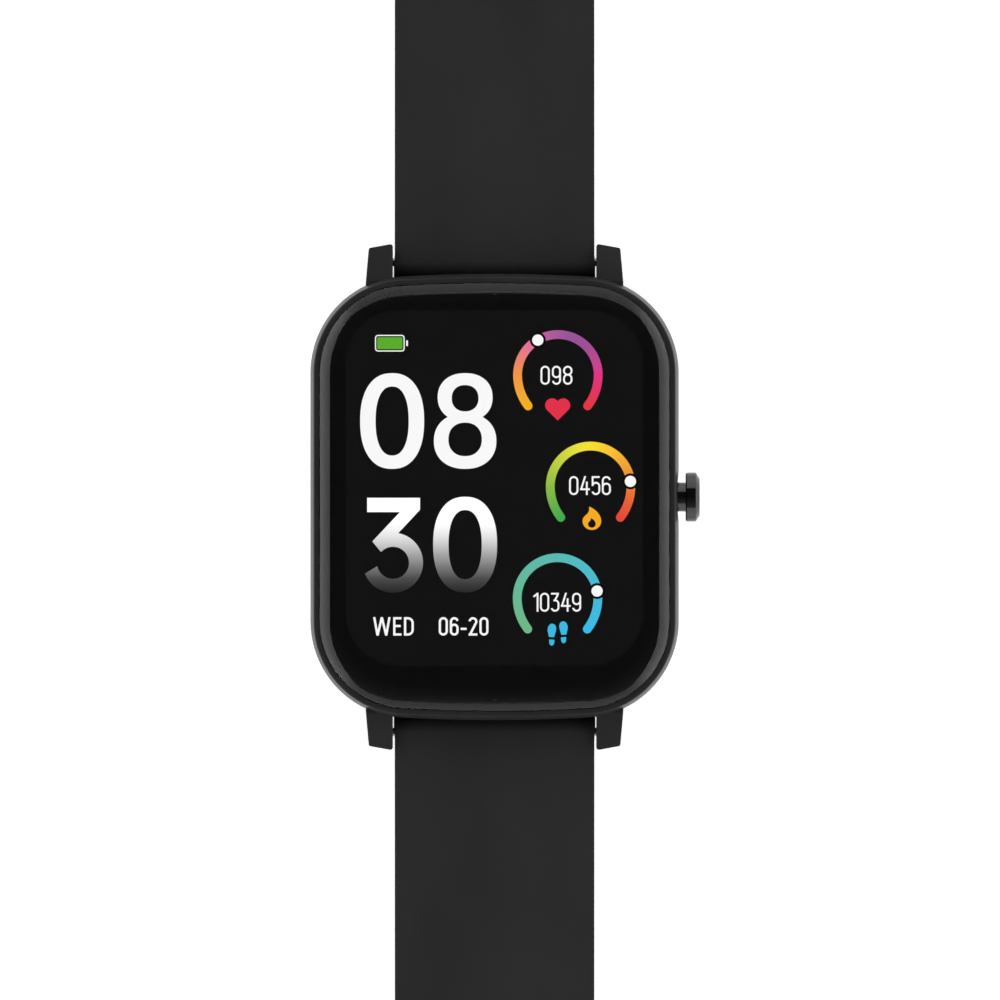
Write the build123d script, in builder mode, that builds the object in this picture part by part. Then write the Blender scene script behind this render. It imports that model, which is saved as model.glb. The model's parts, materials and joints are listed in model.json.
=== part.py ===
from build123d import *
import os
from math import atan, cos, sin

os.makedirs("parts", exist_ok=True)

# A rectangular smartwatch lying on its back: +X is the crown side, +Y is 12 o'clock, +Z is out of
# the dial, and the origin is the middle of the flat on the back that the watch rests on.
# All dimensions are in millimetres.

# ---------------------------------------------------------------- driving dimensions
CASE_HALF_W = 18.42
CASE_HALF_L = 22.33
CASE_END_R = 165.0
CASE_CORNER_R = 9.65
CASE_BOTTOM = 1.2
CASE_TOP = 9.4
SIDE_WIDEST_Z = 5.6
SIDE_LOW_Z = 4.0
SIDE_TOP = (0.33, 9.22)
LEDGE_INSET = 0.47
FOOT_INSET = 2.4
WALL = 2.0
SHELF_BOTTOM = 2.8
SHELF_TOP = 3.8
SHELF_INSET = 4.8
COVER_RECESS = 3.2
GLASS_SEAT = 9.0
GLASS_POCKET = 0.9

STRAP_W = 19.96
STRAP_TANG_W = 20.14
STRAP_END_W = 18.2
LUG_GAP = 20.36
BAR_Y = 23.5
BAR_Z = 4.2
LUG_OUT = 12.88
LUG_TIP_OUT = 12.58

CROWN_Z = 5.6
FIT = 0.03

STRAP_T = 2.2
SHORT_LENGTH = 84.0
LONG_LENGTH = 115.0
SHORT_FLOOR = 1.1
KEEPER_WALL = 1.05


def finish(part, name):
    """Label a finished piece and write it."""
    part.label = name
    export_step(part, f"parts/{name}.step")


def corner_spot(inset):
    """Point on the 45 degree line of the outline's corner, as (x, y)."""
    reach = (CASE_CORNER_R - inset) / 2**0.5
    sagitta = CASE_END_R - (CASE_END_R**2 - (CASE_HALF_W - CASE_CORNER_R) ** 2) ** 0.5
    return (CASE_HALF_W - CASE_CORNER_R + reach, CASE_HALF_L - CASE_CORNER_R - sagitta + reach)


class CaseOutline(BaseSketchObject):
    """Outline of the case moved inwards: straight sides, crowned ends, round corners."""

    def __init__(self, inset, mode=Mode.ADD):
        half_w = CASE_HALF_W - inset
        end_r = CASE_END_R - inset
        end_y = CASE_HALF_L - CASE_END_R
        with BuildSketch() as outline:
            Rectangle(2 * half_w, 2 * CASE_HALF_L)
            with Locations((0, end_y)):
                Circle(end_r, mode=Mode.INTERSECT)
            with Locations((0, -end_y)):
                Circle(end_r, mode=Mode.INTERSECT)
            fillet(outline.vertices(), CASE_CORNER_R - inset)
        super().__init__(outline.sketch, 0, None, mode)


def outline_path(inset):
    """The outline as a closed path on the XY plane."""
    return CaseOutline(inset).face().outer_wire()


def section_plane(path):
    """Plane across a path's start on the left side: X runs inwards and Y is the height."""
    return Plane(origin=path @ 0, x_dir=(1, 0, 0), z_dir=path % 0)


# ---------------------------------------------------------------- case
SCREW_SPOTS = [(sx * x, sy * y) for x, y in [corner_spot(4.85)] for sx in (-1, 1) for sy in (-1, 1)]
SCREW_R = 0.7
SCREW_HEAD_R = 1.25
SCREW_BOSS_R = 1.8
CHASSIS_SCREW_SPOTS = [(0, 18.7), (0, -18.7)]
CHASSIS_SCREW_R = 0.6

BARREL_R = 1.9
SCOOP_R = 2.25
LUG_EDGE_R = 0.12
LUG_TIP_R = 0.25
LUG_SIDE_R = 0.7
LUG_HOLE_R = 0.47
LUG_HOLE_END = 11.5
CROWN_BOSS_R = 3.0
CROWN_BOSS_X = 15.5
CROWN_STEM_R = 1.47
CROWN_BORE_END = 16.2
THIN_STEM_R = 0.7
CROWN_DISH_R = 3.0
CROWN_DISH_SPHERE_R = 8.8

with BuildPart() as lug:
    with BuildSketch(Plane.YZ.offset(LUG_GAP / 2)) as side_view:
        with BuildLine():
            Polyline((20.2, 1.7), (20.2, 7.6), (21.6, 7.6), (25.4, 6.3), (25.1, 2.5), (20.6, 1.5), close=True)
        make_face()
        fillet(side_view.vertices().filter_by(lambda v: v.Y > 24), LUG_SIDE_R)
    extrude(amount=LUG_OUT - LUG_GAP / 2)
    with BuildSketch(Plane.XY) as top_view:
        with BuildLine():
            Polyline(
                (LUG_GAP / 2, 20.2),
                (LUG_GAP / 2, 25.33),
                (LUG_TIP_OUT, 24.9),
                (LUG_OUT, 21.4),
                (LUG_OUT, 20.2),
                close=True,
            )
        make_face()
        fillet(top_view.vertices().filter_by(lambda v: v.Y > 24), LUG_TIP_R)
    extrude(amount=CASE_TOP, mode=Mode.INTERSECT)
    tip_edges = lug.edges().filter_by(lambda e: e.center().Y > 20.9)
    fillet(tip_edges, LUG_EDGE_R)

case_path = outline_path(0)
with BuildPart() as case:
    # one section swept around the outline: barrel side, ledge, glass pocket and seat, wall and shelf
    with BuildSketch(section_plane(case_path)):
        with BuildLine():
            Polyline(
                (LEDGE_INSET, CASE_TOP),
                (GLASS_POCKET, CASE_TOP),
                (GLASS_POCKET, GLASS_SEAT),
                (WALL, GLASS_SEAT),
                (WALL, SHELF_TOP),
                (SHELF_INSET, SHELF_TOP),
                (SHELF_INSET, SHELF_BOTTOM),
                (COVER_RECESS, SHELF_BOTTOM),
                (COVER_RECESS, CASE_BOTTOM),
                (FOOT_INSET, CASE_BOTTOM),
            )
            EllipticalCenterArc(
                (FOOT_INSET, SIDE_LOW_Z), FOOT_INSET, SIDE_LOW_Z - CASE_BOTTOM, 180, arc_size=90
            )
            Line((0, SIDE_LOW_Z), (0, SIDE_WIDEST_Z))
            side_curve = TangentArc((0, SIDE_WIDEST_Z), SIDE_TOP, tangent=(0, 1))
            TangentArc(SIDE_TOP, (LEDGE_INSET, CASE_TOP), tangent=side_curve % 1)
        make_face()
    sweep(path=case_path)
    add(lug.part)
    add(lug.part.mirror(Plane.YZ))
    add(lug.part.mirror(Plane.XZ))
    add(lug.part.mirror(Plane.YZ).mirror(Plane.XZ))
    # bosses for the back cover's screws at the corners of the shelf, and the screw holes
    with BuildSketch(Plane.XY.offset(SHELF_BOTTOM)):
        with Locations(SCREW_SPOTS):
            Circle(SCREW_BOSS_R)
    extrude(amount=SHELF_TOP - SHELF_BOTTOM)
    with BuildSketch(Plane.XY.offset(SHELF_BOTTOM)):
        with Locations(SCREW_SPOTS):
            Circle(SCREW_R)
        with Locations(CHASSIS_SCREW_SPOTS):
            Circle(CHASSIS_SCREW_R)
    extrude(amount=SHELF_TOP - SHELF_BOTTOM, mode=Mode.SUBTRACT)
    # relief for the strap ends between the lugs, and the blind holes for the bar pins
    for side in (-1, 1):
        with BuildSketch(Plane.YZ):
            with Locations((side * BAR_Y, BAR_Z)):
                Circle(SCOOP_R)
            with Locations((side * BAR_Y, BAR_Z / 2)):
                Rectangle(2 * SCOOP_R, BAR_Z)
        extrude(amount=LUG_GAP / 2, both=True, mode=Mode.SUBTRACT)
        with BuildSketch(Plane.YZ):
            with Locations((side * BAR_Y, BAR_Z)):
                Circle(LUG_HOLE_R)
        extrude(amount=LUG_HOLE_END, both=True, mode=Mode.SUBTRACT)
    # crown tube inside the wall, its bore and the shallow dish around it
    with BuildSketch(Plane.YZ.offset(CROWN_BOSS_X)):
        with Locations((0, CROWN_Z)):
            Circle(CROWN_BOSS_R)
    extrude(amount=CASE_HALF_W - WALL / 2 - CROWN_BOSS_X)
    with Locations((CASE_HALF_W + (CROWN_DISH_SPHERE_R**2 - CROWN_DISH_R**2) ** 0.5, 0, CROWN_Z)):
        Sphere(CROWN_DISH_SPHERE_R, mode=Mode.SUBTRACT)
    with BuildSketch(Plane.YZ.offset(CROWN_BORE_END)):
        with Locations((0, CROWN_Z)):
            Circle(CROWN_STEM_R + FIT)
    extrude(amount=CASE_HALF_W - CROWN_BORE_END, mode=Mode.SUBTRACT)
    with BuildSketch(Plane.YZ.offset(CROWN_BOSS_X)):
        with Locations((0, CROWN_Z)):
            Circle(THIN_STEM_R + FIT)
    extrude(amount=CROWN_BORE_END - CROWN_BOSS_X, mode=Mode.SUBTRACT)
finish(case.part, "case")

# ---------------------------------------------------------------- back cover and its seal
COVER_TOP = 2.4
COVER_GAP = 0.05
ISLAND_BASE_R = 12.6
ISLAND_FLAT_R = 11.2
SENSOR_Y = 1.6
SENSOR_CAVITY_R = 6.9
WINDOW_R = 5.4
WINDOW_FLANGE_R = 6.1
WINDOW_T = 0.8
WINDOW_FLANGE_TOP = 1.2
CONTACT_SPOTS = [(-2.2, -7.9), (2.2, -7.9)]
CONTACT_R = 1.0
CONTACT_FLANGE_R = 1.35
MAGNET_SPOTS = [(-6.4, -7.4), (6.4, -7.4)]
MAGNET_R = 1.6
MAGNET_BOTTOM = 1.3
MAGNET_TOP = 2.3
SCREW_HEAD_TOP = 1.9
SCREW_HEAD_BOTTOM = 1.3
SCREW_SLOT = (1.6, 0.35)
GASKET_INSETS = (3.3, 3.85)

with BuildPart() as back_cover:
    with BuildSketch(Plane.XY.offset(CASE_BOTTOM)):
        CaseOutline(COVER_RECESS + COVER_GAP)
    extrude(amount=COVER_TOP - CASE_BOTTOM)
    with BuildSketch(Plane.XZ):
        with BuildLine():
            Polyline((0, 0), (ISLAND_FLAT_R, 0), (ISLAND_BASE_R, CASE_BOTTOM), (0, CASE_BOTTOM), close=True)
        make_face()
    revolve(axis=Axis.Z)
    with BuildSketch(Plane.XY):
        with Locations((0, SENSOR_Y)):
            Circle(WINDOW_R + FIT)
        with Locations(CONTACT_SPOTS):
            Circle(CONTACT_R + FIT)
    extrude(amount=COVER_TOP, mode=Mode.SUBTRACT)
    with BuildSketch(Plane.XY.offset(WINDOW_T)):
        with Locations((0, SENSOR_Y)):
            Circle(SENSOR_CAVITY_R)
        with Locations(CONTACT_SPOTS):
            Circle(CONTACT_FLANGE_R + FIT)
    extrude(amount=COVER_TOP - WINDOW_T, mode=Mode.SUBTRACT)
    with BuildSketch(Plane.XY.offset(MAGNET_BOTTOM)):
        with Locations(MAGNET_SPOTS):
            Circle(MAGNET_R + FIT)
    extrude(amount=COVER_TOP - MAGNET_BOTTOM, mode=Mode.SUBTRACT)
    with BuildSketch(Plane.XY.offset(CASE_BOTTOM)):
        with Locations(SCREW_SPOTS):
            Circle(SCREW_HEAD_R + FIT)
    extrude(amount=SCREW_HEAD_TOP - CASE_BOTTOM, mode=Mode.SUBTRACT)
    with BuildSketch(Plane.XY.offset(CASE_BOTTOM)):
        with Locations(SCREW_SPOTS):
            Circle(SCREW_R + FIT)
    extrude(amount=COVER_TOP - CASE_BOTTOM, mode=Mode.SUBTRACT)
finish(back_cover.part, "back_cover")

with BuildPart() as back_gasket:
    with BuildSketch(Plane.XY.offset(COVER_TOP)):
        CaseOutline(GASKET_INSETS[0])
        CaseOutline(GASKET_INSETS[1], mode=Mode.SUBTRACT)
    extrude(amount=SHELF_BOTTOM - COVER_TOP)
finish(back_gasket.part, "back_gasket")

with BuildPart() as back_cover_screws:
    with BuildSketch(Plane.XY.offset(SCREW_HEAD_BOTTOM)):
        with Locations(SCREW_SPOTS):
            Circle(SCREW_HEAD_R)
    extrude(amount=SCREW_HEAD_TOP - SCREW_HEAD_BOTTOM)
    with BuildSketch(Plane.XY.offset(SCREW_HEAD_TOP)):
        with Locations(SCREW_SPOTS):
            Circle(SCREW_R)
    extrude(amount=SHELF_TOP - SCREW_HEAD_TOP)
    with BuildSketch(Plane.XY.offset(SCREW_HEAD_BOTTOM)):
        for x, y in SCREW_SPOTS:
            with Locations((x, y, 0)):
                Rectangle(*SCREW_SLOT)
                Rectangle(*SCREW_SLOT, rotation=90)
    extrude(amount=SCREW_SLOT[1], mode=Mode.SUBTRACT)
finish(back_cover_screws.part, "back_cover_screws")

# ---------------------------------------------------------------- pulse sensor and charging
SENSOR_BOARD = (1.9, 2.4)
SENSOR_BOARD_R = 6.6
CHIP_BOTTOM = WINDOW_FLANGE_TOP + 0.1
LED_SIZE = (1.2, 1.6)
LED_HOLE = (1.7, 2.2)
PHOTODIODE_W = 2.4
PHOTODIODE_HOLE_W = 3.0
BARRIER_R = 5.6

with BuildPart() as sensor_window:
    with BuildSketch(Plane.XY):
        with Locations((0, SENSOR_Y)):
            Circle(WINDOW_R)
    extrude(amount=WINDOW_FLANGE_TOP)
    with BuildSketch(Plane.XY.offset(WINDOW_T)):
        with Locations((0, SENSOR_Y)):
            Circle(WINDOW_FLANGE_R)
    extrude(amount=WINDOW_FLANGE_TOP - WINDOW_T)
finish(sensor_window.part, "sensor_window")

LED_SPOTS = [(-3.2, SENSOR_Y), (3.2, SENSOR_Y)]
with BuildPart() as sensor_leds:
    with BuildSketch(Plane.XY.offset(CHIP_BOTTOM)):
        with Locations(LED_SPOTS):
            Rectangle(*LED_SIZE)
    extrude(amount=SENSOR_BOARD[0] - CHIP_BOTTOM)
finish(sensor_leds.part, "sensor_leds")

with BuildPart() as sensor_photodiode:
    with BuildSketch(Plane.XY.offset(CHIP_BOTTOM)):
        with Locations((0, SENSOR_Y)):
            Rectangle(PHOTODIODE_W, PHOTODIODE_W)
    extrude(amount=SENSOR_BOARD[0] - CHIP_BOTTOM)
finish(sensor_photodiode.part, "sensor_photodiode")

with BuildPart() as sensor_light_barrier:
    with BuildSketch(Plane.XY.offset(WINDOW_FLANGE_TOP)):
        with Locations((0, SENSOR_Y)):
            Circle(BARRIER_R)
            Rectangle(PHOTODIODE_HOLE_W, PHOTODIODE_HOLE_W, mode=Mode.SUBTRACT)
        with Locations(LED_SPOTS):
            Rectangle(*LED_HOLE, mode=Mode.SUBTRACT)
    extrude(amount=SENSOR_BOARD[0] - WINDOW_FLANGE_TOP)
finish(sensor_light_barrier.part, "sensor_light_barrier")

with BuildPart() as sensor_board:
    with BuildSketch(Plane.XY.offset(SENSOR_BOARD[0])):
        with Locations((0, SENSOR_Y)):
            Circle(SENSOR_BOARD_R)
    extrude(amount=SENSOR_BOARD[1] - SENSOR_BOARD[0])
    fillet(sensor_board.faces().sort_by(Axis.Z)[-1].edges(), 0.08)
finish(sensor_board.part, "sensor_board")

BOARD_BOTTOM = 3.2
CONTACT_FLANGE_T = 0.4
CONTACT_LEAD_R = 0.5
with BuildPart() as charging_contacts:
    with BuildSketch(Plane.XY):
        with Locations(CONTACT_SPOTS):
            Circle(CONTACT_R)
    extrude(amount=WINDOW_T)
    with BuildSketch(Plane.XY.offset(WINDOW_T)):
        with Locations(CONTACT_SPOTS):
            Circle(CONTACT_FLANGE_R)
    extrude(amount=CONTACT_FLANGE_T)
    with BuildSketch(Plane.XY.offset(WINDOW_T + CONTACT_FLANGE_T)):
        with Locations(CONTACT_SPOTS):
            Circle(CONTACT_LEAD_R)
    extrude(amount=BOARD_BOTTOM - WINDOW_T - CONTACT_FLANGE_T)
finish(charging_contacts.part, "charging_contacts")

with BuildPart() as charging_magnets:
    with BuildSketch(Plane.XY.offset(MAGNET_BOTTOM)):
        with Locations(MAGNET_SPOTS):
            Circle(MAGNET_R)
    extrude(amount=MAGNET_TOP - MAGNET_BOTTOM)
    chamfer(charging_magnets.edges().filter_by(GeomType.CIRCLE), 0.12)
finish(charging_magnets.part, "charging_magnets")

# ---------------------------------------------------------------- cover glass and display
GLASS_INSET = 0.97
GLASS_BOTTOM = 9.1
GLASS_TOP = 10.4
GLASS_CURVE_W = 2.2
GLASS_CURVE_H = 0.82
ADHESIVE_INSETS = (1.0, 1.9)

GLASS_EDGE = GLASS_TOP - GLASS_CURVE_H
glass_path = outline_path(GLASS_INSET)

with BuildPart() as cover_glass:
    with BuildSketch(Plane.XY.offset(GLASS_BOTTOM)):
        CaseOutline(GLASS_INSET + GLASS_CURVE_W)
    extrude(amount=GLASS_TOP - GLASS_BOTTOM)
    # curved rim: level at the flat, then down to a short upright edge
    with BuildSketch(section_plane(glass_path)):
        with BuildLine():
            TangentArc((GLASS_CURVE_W, GLASS_TOP), (0, GLASS_EDGE), tangent=(-1, 0))
            Polyline(
                (0, GLASS_EDGE), (0, GLASS_BOTTOM), (GLASS_CURVE_W, GLASS_BOTTOM), (GLASS_CURVE_W, GLASS_TOP)
            )
        make_face()
    sweep(path=glass_path)
finish(cover_glass.part, "cover_glass")

with BuildPart() as glass_adhesive:
    with BuildSketch(Plane.XY.offset(GLASS_SEAT)):
        CaseOutline(ADHESIVE_INSETS[0])
        CaseOutline(ADHESIVE_INSETS[1], mode=Mode.SUBTRACT)
    extrude(amount=GLASS_BOTTOM - GLASS_SEAT)
finish(glass_adhesive.part, "glass_adhesive")

DISPLAY_CENTRE_Y = 1.0
DISPLAY_BOTTOM = 7.4
DISPLAY_TOP = 9.0
DISPLAY_SIZE = (30.8, 36.8, 6.3)
with BuildPart() as display_module:
    with BuildSketch(Plane.XY.offset(DISPLAY_BOTTOM)):
        with Locations((0, DISPLAY_CENTRE_Y)):
            RectangleRounded(*DISPLAY_SIZE)
    extrude(amount=DISPLAY_TOP - DISPLAY_BOTTOM)
finish(display_module.part, "display_module")

CHASSIS_TOP = 7.1
PLATE_SIZE = (30.0, 36.0, 6.0)
PLATE_SLOT_SPOT = (9.0, 15.4)
PLATE_SLOT = (7.0, 1.6)
with BuildPart() as display_plate:
    with BuildSketch(Plane.XY.offset(CHASSIS_TOP)):
        with Locations((0, DISPLAY_CENTRE_Y)):
            RectangleRounded(*PLATE_SIZE)
        with Locations(PLATE_SLOT_SPOT):
            SlotOverall(*PLATE_SLOT, mode=Mode.SUBTRACT)
    extrude(amount=DISPLAY_BOTTOM - CHASSIS_TOP)
finish(display_plate.part, "display_plate")

# ---------------------------------------------------------------- chassis and what it carries
CHASSIS_FLOOR = 4.3
BATTERY = (-4.6, 3.0, 20.0, 24.0)
MOTOR = (-8.5, -14.2)
MOTOR_R = 4.0
SHIELD = (6.6, -13.6, 12.0, 7.0)
CONNECTOR = (9.0, 11.0, 5.0, 2.2)
ANTENNA = (12.2, 7.4, 1.6, 3.2)
POCKET_GAP = 0.25
CHASSIS_GAP = 0.15
SHIELD_MARGIN = 1.0
CONNECTOR_WINDOW = (10.0, 10.0, 7.4, 9.6)
CROWN_WINDOW = (14.0, 0, 5.4, 8.4)
CHASSIS_SCREW_SEAT = 5.0
CHASSIS_SCREW_BOTTOM = 2.9
CHASSIS_SCREW_HEAD = (1.0, 0.5)
CHASSIS_SCREW_POCKET_R = 1.2
CHASSIS_SCREW_SLOT = (1.4, 0.3)
BOARD_TOP = 3.8
SHIELD_H = 1.3
CONNECTOR_H = 0.9
CONNECTOR_WELL = (0.8, 1.4, 0.4)
ANTENNA_H = 0.5
BATTERY_H = 2.6

with BuildPart() as chassis:
    with BuildSketch(Plane.XY.offset(SHELF_TOP)):
        CaseOutline(WALL + CHASSIS_GAP)
    extrude(amount=CHASSIS_TOP - SHELF_TOP)
    with BuildSketch(Plane.XY.offset(CHASSIS_FLOOR)):
        with Locations(BATTERY[:2]):
            Rectangle(BATTERY[2] + 2 * POCKET_GAP, BATTERY[3] + 2 * POCKET_GAP)
        with Locations(MOTOR):
            Circle(MOTOR_R + POCKET_GAP)
    extrude(amount=CHASSIS_TOP - CHASSIS_FLOOR, mode=Mode.SUBTRACT)
    # windows over the tall parts of the main board, and room for the crown tube and its switch
    with BuildSketch(Plane.XY.offset(SHELF_TOP)):
        with Locations(SHIELD[:2]):
            Rectangle(SHIELD[2] + SHIELD_MARGIN, SHIELD[3] + SHIELD_MARGIN)
        with Locations(CONNECTOR_WINDOW[:2]):
            Rectangle(*CONNECTOR_WINDOW[2:])
        with Locations(CROWN_WINDOW[:2]):
            Rectangle(*CROWN_WINDOW[2:])
    extrude(amount=CHASSIS_TOP - SHELF_TOP, mode=Mode.SUBTRACT)
    with BuildSketch(Plane.XY.offset(CHASSIS_SCREW_SEAT)):
        with Locations(CHASSIS_SCREW_SPOTS):
            Circle(CHASSIS_SCREW_POCKET_R)
    extrude(amount=CHASSIS_TOP - CHASSIS_SCREW_SEAT, mode=Mode.SUBTRACT)
    with BuildSketch(Plane.XY.offset(SHELF_TOP)):
        with Locations(CHASSIS_SCREW_SPOTS):
            Circle(CHASSIS_SCREW_R + FIT)
    extrude(amount=CHASSIS_TOP - SHELF_TOP, mode=Mode.SUBTRACT)
finish(chassis.part, "chassis")

with BuildPart() as chassis_screws:
    with BuildSketch(Plane.XY.offset(CHASSIS_SCREW_BOTTOM)):
        with Locations(CHASSIS_SCREW_SPOTS):
            Circle(CHASSIS_SCREW_R)
    extrude(amount=CHASSIS_SCREW_SEAT - CHASSIS_SCREW_BOTTOM)
    with BuildSketch(Plane.XY.offset(CHASSIS_SCREW_SEAT)):
        with Locations(CHASSIS_SCREW_SPOTS):
            Circle(CHASSIS_SCREW_HEAD[0])
    extrude(amount=CHASSIS_SCREW_HEAD[1])
    with BuildSketch(Plane.XY.offset(CHASSIS_SCREW_SEAT + CHASSIS_SCREW_HEAD[1])):
        with Locations(CHASSIS_SCREW_SPOTS):
            Rectangle(*CHASSIS_SCREW_SLOT)
    extrude(amount=-CHASSIS_SCREW_HEAD[1] / 2, mode=Mode.SUBTRACT)
finish(chassis_screws.part, "chassis_screws")

with BuildPart() as main_board:
    with BuildSketch(Plane.XY.offset(BOARD_BOTTOM)):
        CaseOutline(SHELF_INSET + POCKET_GAP)
        with Locations(SCREW_SPOTS):
            Circle(SCREW_BOSS_R + POCKET_GAP, mode=Mode.SUBTRACT)
    extrude(amount=BOARD_TOP - BOARD_BOTTOM)
finish(main_board.part, "main_board")

with BuildPart() as processor_shield:
    with BuildSketch(Plane.XY.offset(BOARD_TOP)):
        with Locations(SHIELD[:2]):
            Rectangle(SHIELD[2], SHIELD[3])
    extrude(amount=SHIELD_H)
    fillet(processor_shield.edges().filter_by(Axis.Z), 0.6)
    fillet(processor_shield.faces().sort_by(Axis.Z)[-1].edges(), 0.25)
finish(processor_shield.part, "processor_shield")

with BuildPart() as display_connector:
    with BuildSketch(Plane.XY.offset(BOARD_TOP)):
        with Locations(CONNECTOR[:2]):
            Rectangle(CONNECTOR[2], CONNECTOR[3])
    extrude(amount=CONNECTOR_H)
    with BuildSketch(Plane.XY.offset(BOARD_TOP + CONNECTOR_H)):
        with Locations(CONNECTOR[:2]):
            Rectangle(CONNECTOR[2] - CONNECTOR_WELL[0], CONNECTOR[3] - CONNECTOR_WELL[1])
    extrude(amount=-CONNECTOR_WELL[2], mode=Mode.SUBTRACT)
finish(display_connector.part, "display_connector")

with BuildPart() as bluetooth_antenna:
    with BuildSketch(Plane.XY.offset(BOARD_TOP)):
        with Locations(ANTENNA[:2]):
            Rectangle(ANTENNA[2], ANTENNA[3])
    extrude(amount=ANTENNA_H)
    chamfer(bluetooth_antenna.edges().filter_by(Axis.Z), 0.15)
finish(bluetooth_antenna.part, "bluetooth_antenna")

with BuildPart() as battery:
    with BuildSketch(Plane.XY.offset(CHASSIS_FLOOR)):
        with Locations(BATTERY[:2]):
            Rectangle(BATTERY[2], BATTERY[3])
    extrude(amount=BATTERY_H)
    fillet(battery.edges().filter_by(Axis.Z), 1.0)
    fillet(battery.faces().sort_by(Axis.Z)[-1].edges(), 0.5)
finish(battery.part, "battery")

# coin vibration motor: base plate, fixed shaft, half-round weight and can
MOTOR_BASE_TOP = CHASSIS_FLOOR + 0.3
MOTOR_TOP = CHASSIS_FLOOR + 2.6
MOTOR_SHAFT_R = 0.4
MOTOR_LID_T = 0.25
MOTOR_WALL = 0.3
MOTOR_WEIGHT_R = 3.3
MOTOR_HUB_R = 1.1
MOTOR_WEIGHT_T = 1.5
MOTOR_WEIGHT_GAP = 0.3
with BuildPart() as motor_base:
    with BuildSketch(Plane.XY.offset(CHASSIS_FLOOR)):
        with Locations(MOTOR):
            Circle(MOTOR_R)
    extrude(amount=MOTOR_BASE_TOP - CHASSIS_FLOOR)
finish(motor_base.part, "motor_base")

with BuildPart() as motor_shaft:
    with BuildSketch(Plane.XY.offset(MOTOR_BASE_TOP)):
        with Locations(MOTOR):
            Circle(MOTOR_SHAFT_R)
    extrude(amount=MOTOR_TOP - MOTOR_LID_T - MOTOR_BASE_TOP)
finish(motor_shaft.part, "motor_shaft")

with BuildPart() as motor_weight:
    with BuildSketch(Plane.XY.offset(MOTOR_BASE_TOP + MOTOR_WEIGHT_GAP)):
        with Locations(MOTOR):
            Circle(MOTOR_WEIGHT_R)
            Rectangle(2 * MOTOR_R, MOTOR_R, align=(Align.CENTER, Align.MAX), mode=Mode.SUBTRACT)
            Circle(MOTOR_HUB_R)
            Circle(MOTOR_SHAFT_R + FIT, mode=Mode.SUBTRACT)
    extrude(amount=MOTOR_WEIGHT_T)
finish(motor_weight.part, "motor_weight")

with BuildPart() as motor_can:
    with BuildSketch(Plane.XY.offset(MOTOR_BASE_TOP)):
        with Locations(MOTOR):
            Circle(MOTOR_R)
    extrude(amount=MOTOR_TOP - MOTOR_BASE_TOP)
    fillet(motor_can.faces().sort_by(Axis.Z)[-1].edges(), 0.4)
    with BuildSketch(Plane.XY.offset(MOTOR_BASE_TOP)):
        with Locations(MOTOR):
            Circle(MOTOR_R - MOTOR_WALL)
    extrude(amount=MOTOR_TOP - MOTOR_LID_T - MOTOR_BASE_TOP, mode=Mode.SUBTRACT)
finish(motor_can.part, "motor_can")

# ---------------------------------------------------------------- crown and its switch
CROWN_HEAD_R = 2.47
CROWN_FACE_R = 1.95
CROWN_HEAD = (19.1, 20.2, 20.5)
THICK_STEM_X = 17.5
SEAL_X = (17.75, 18.05)
SEAL_R = 1.49
SEAL_GROOVE_R = 1.2
CLIP_X = (15.1, 15.4)
CLIP_GROOVE_R = 0.5
CLIP_R = 1.3
CLIP_MOUTH = (0.8, 1.6)
STEM_TIP_X = 14.7
crown_axis = Plane.XY.offset(CROWN_Z)

with BuildPart() as crown:
    with BuildSketch(crown_axis):
        with BuildLine():
            Polyline(
                (STEM_TIP_X, 0),
                (STEM_TIP_X, THIN_STEM_R - 0.1),
                (STEM_TIP_X + 0.1, THIN_STEM_R),
                (CLIP_X[0], THIN_STEM_R),
                (CLIP_X[0], CLIP_GROOVE_R),
                (CLIP_X[1], CLIP_GROOVE_R),
                (CLIP_X[1], THIN_STEM_R),
                (THICK_STEM_X, THIN_STEM_R),
                (THICK_STEM_X, CROWN_STEM_R),
                (SEAL_X[0], CROWN_STEM_R),
                (SEAL_X[0], SEAL_GROOVE_R),
                (SEAL_X[1], SEAL_GROOVE_R),
                (SEAL_X[1], CROWN_STEM_R),
                (CROWN_HEAD[0], CROWN_STEM_R),
                (CROWN_HEAD[0], CROWN_HEAD_R - 0.12),
                (CROWN_HEAD[0] + 0.12, CROWN_HEAD_R),
                (CROWN_HEAD[1] - 0.08, CROWN_HEAD_R),
                (CROWN_HEAD[1], CROWN_HEAD_R - 0.08),
                (CROWN_HEAD[2] - 0.08, CROWN_FACE_R + 0.1),
                (CROWN_HEAD[2], CROWN_FACE_R),
                (CROWN_HEAD[2], 0),
                close=True,
            )
        make_face()
    revolve(axis=Axis((0, 0, CROWN_Z), (1, 0, 0)))
finish(crown.part, "crown")

with BuildPart() as crown_seal:
    with BuildSketch(Plane.YZ.offset(SEAL_X[0])):
        with Locations((0, CROWN_Z)):
            Circle(SEAL_R)
            Circle(SEAL_GROOVE_R, mode=Mode.SUBTRACT)
    extrude(amount=SEAL_X[1] - SEAL_X[0])
finish(crown_seal.part, "crown_seal")

CROWN_SPRING = (0.36, 1.08, 1.1)
SPRING_WIRE_R = 0.09
with BuildPart() as crown_spring:
    with BuildLine() as coil:
        Helix(*CROWN_SPRING, center=(CROWN_BORE_END + 0.1, 0, CROWN_Z), direction=(1, 0, 0))
    with BuildSketch(Plane(coil.line @ 0, z_dir=coil.line % 0)):
        Circle(SPRING_WIRE_R)
    sweep(path=coil.line, is_frenet=True)
finish(crown_spring.part, "crown_spring")

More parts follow.
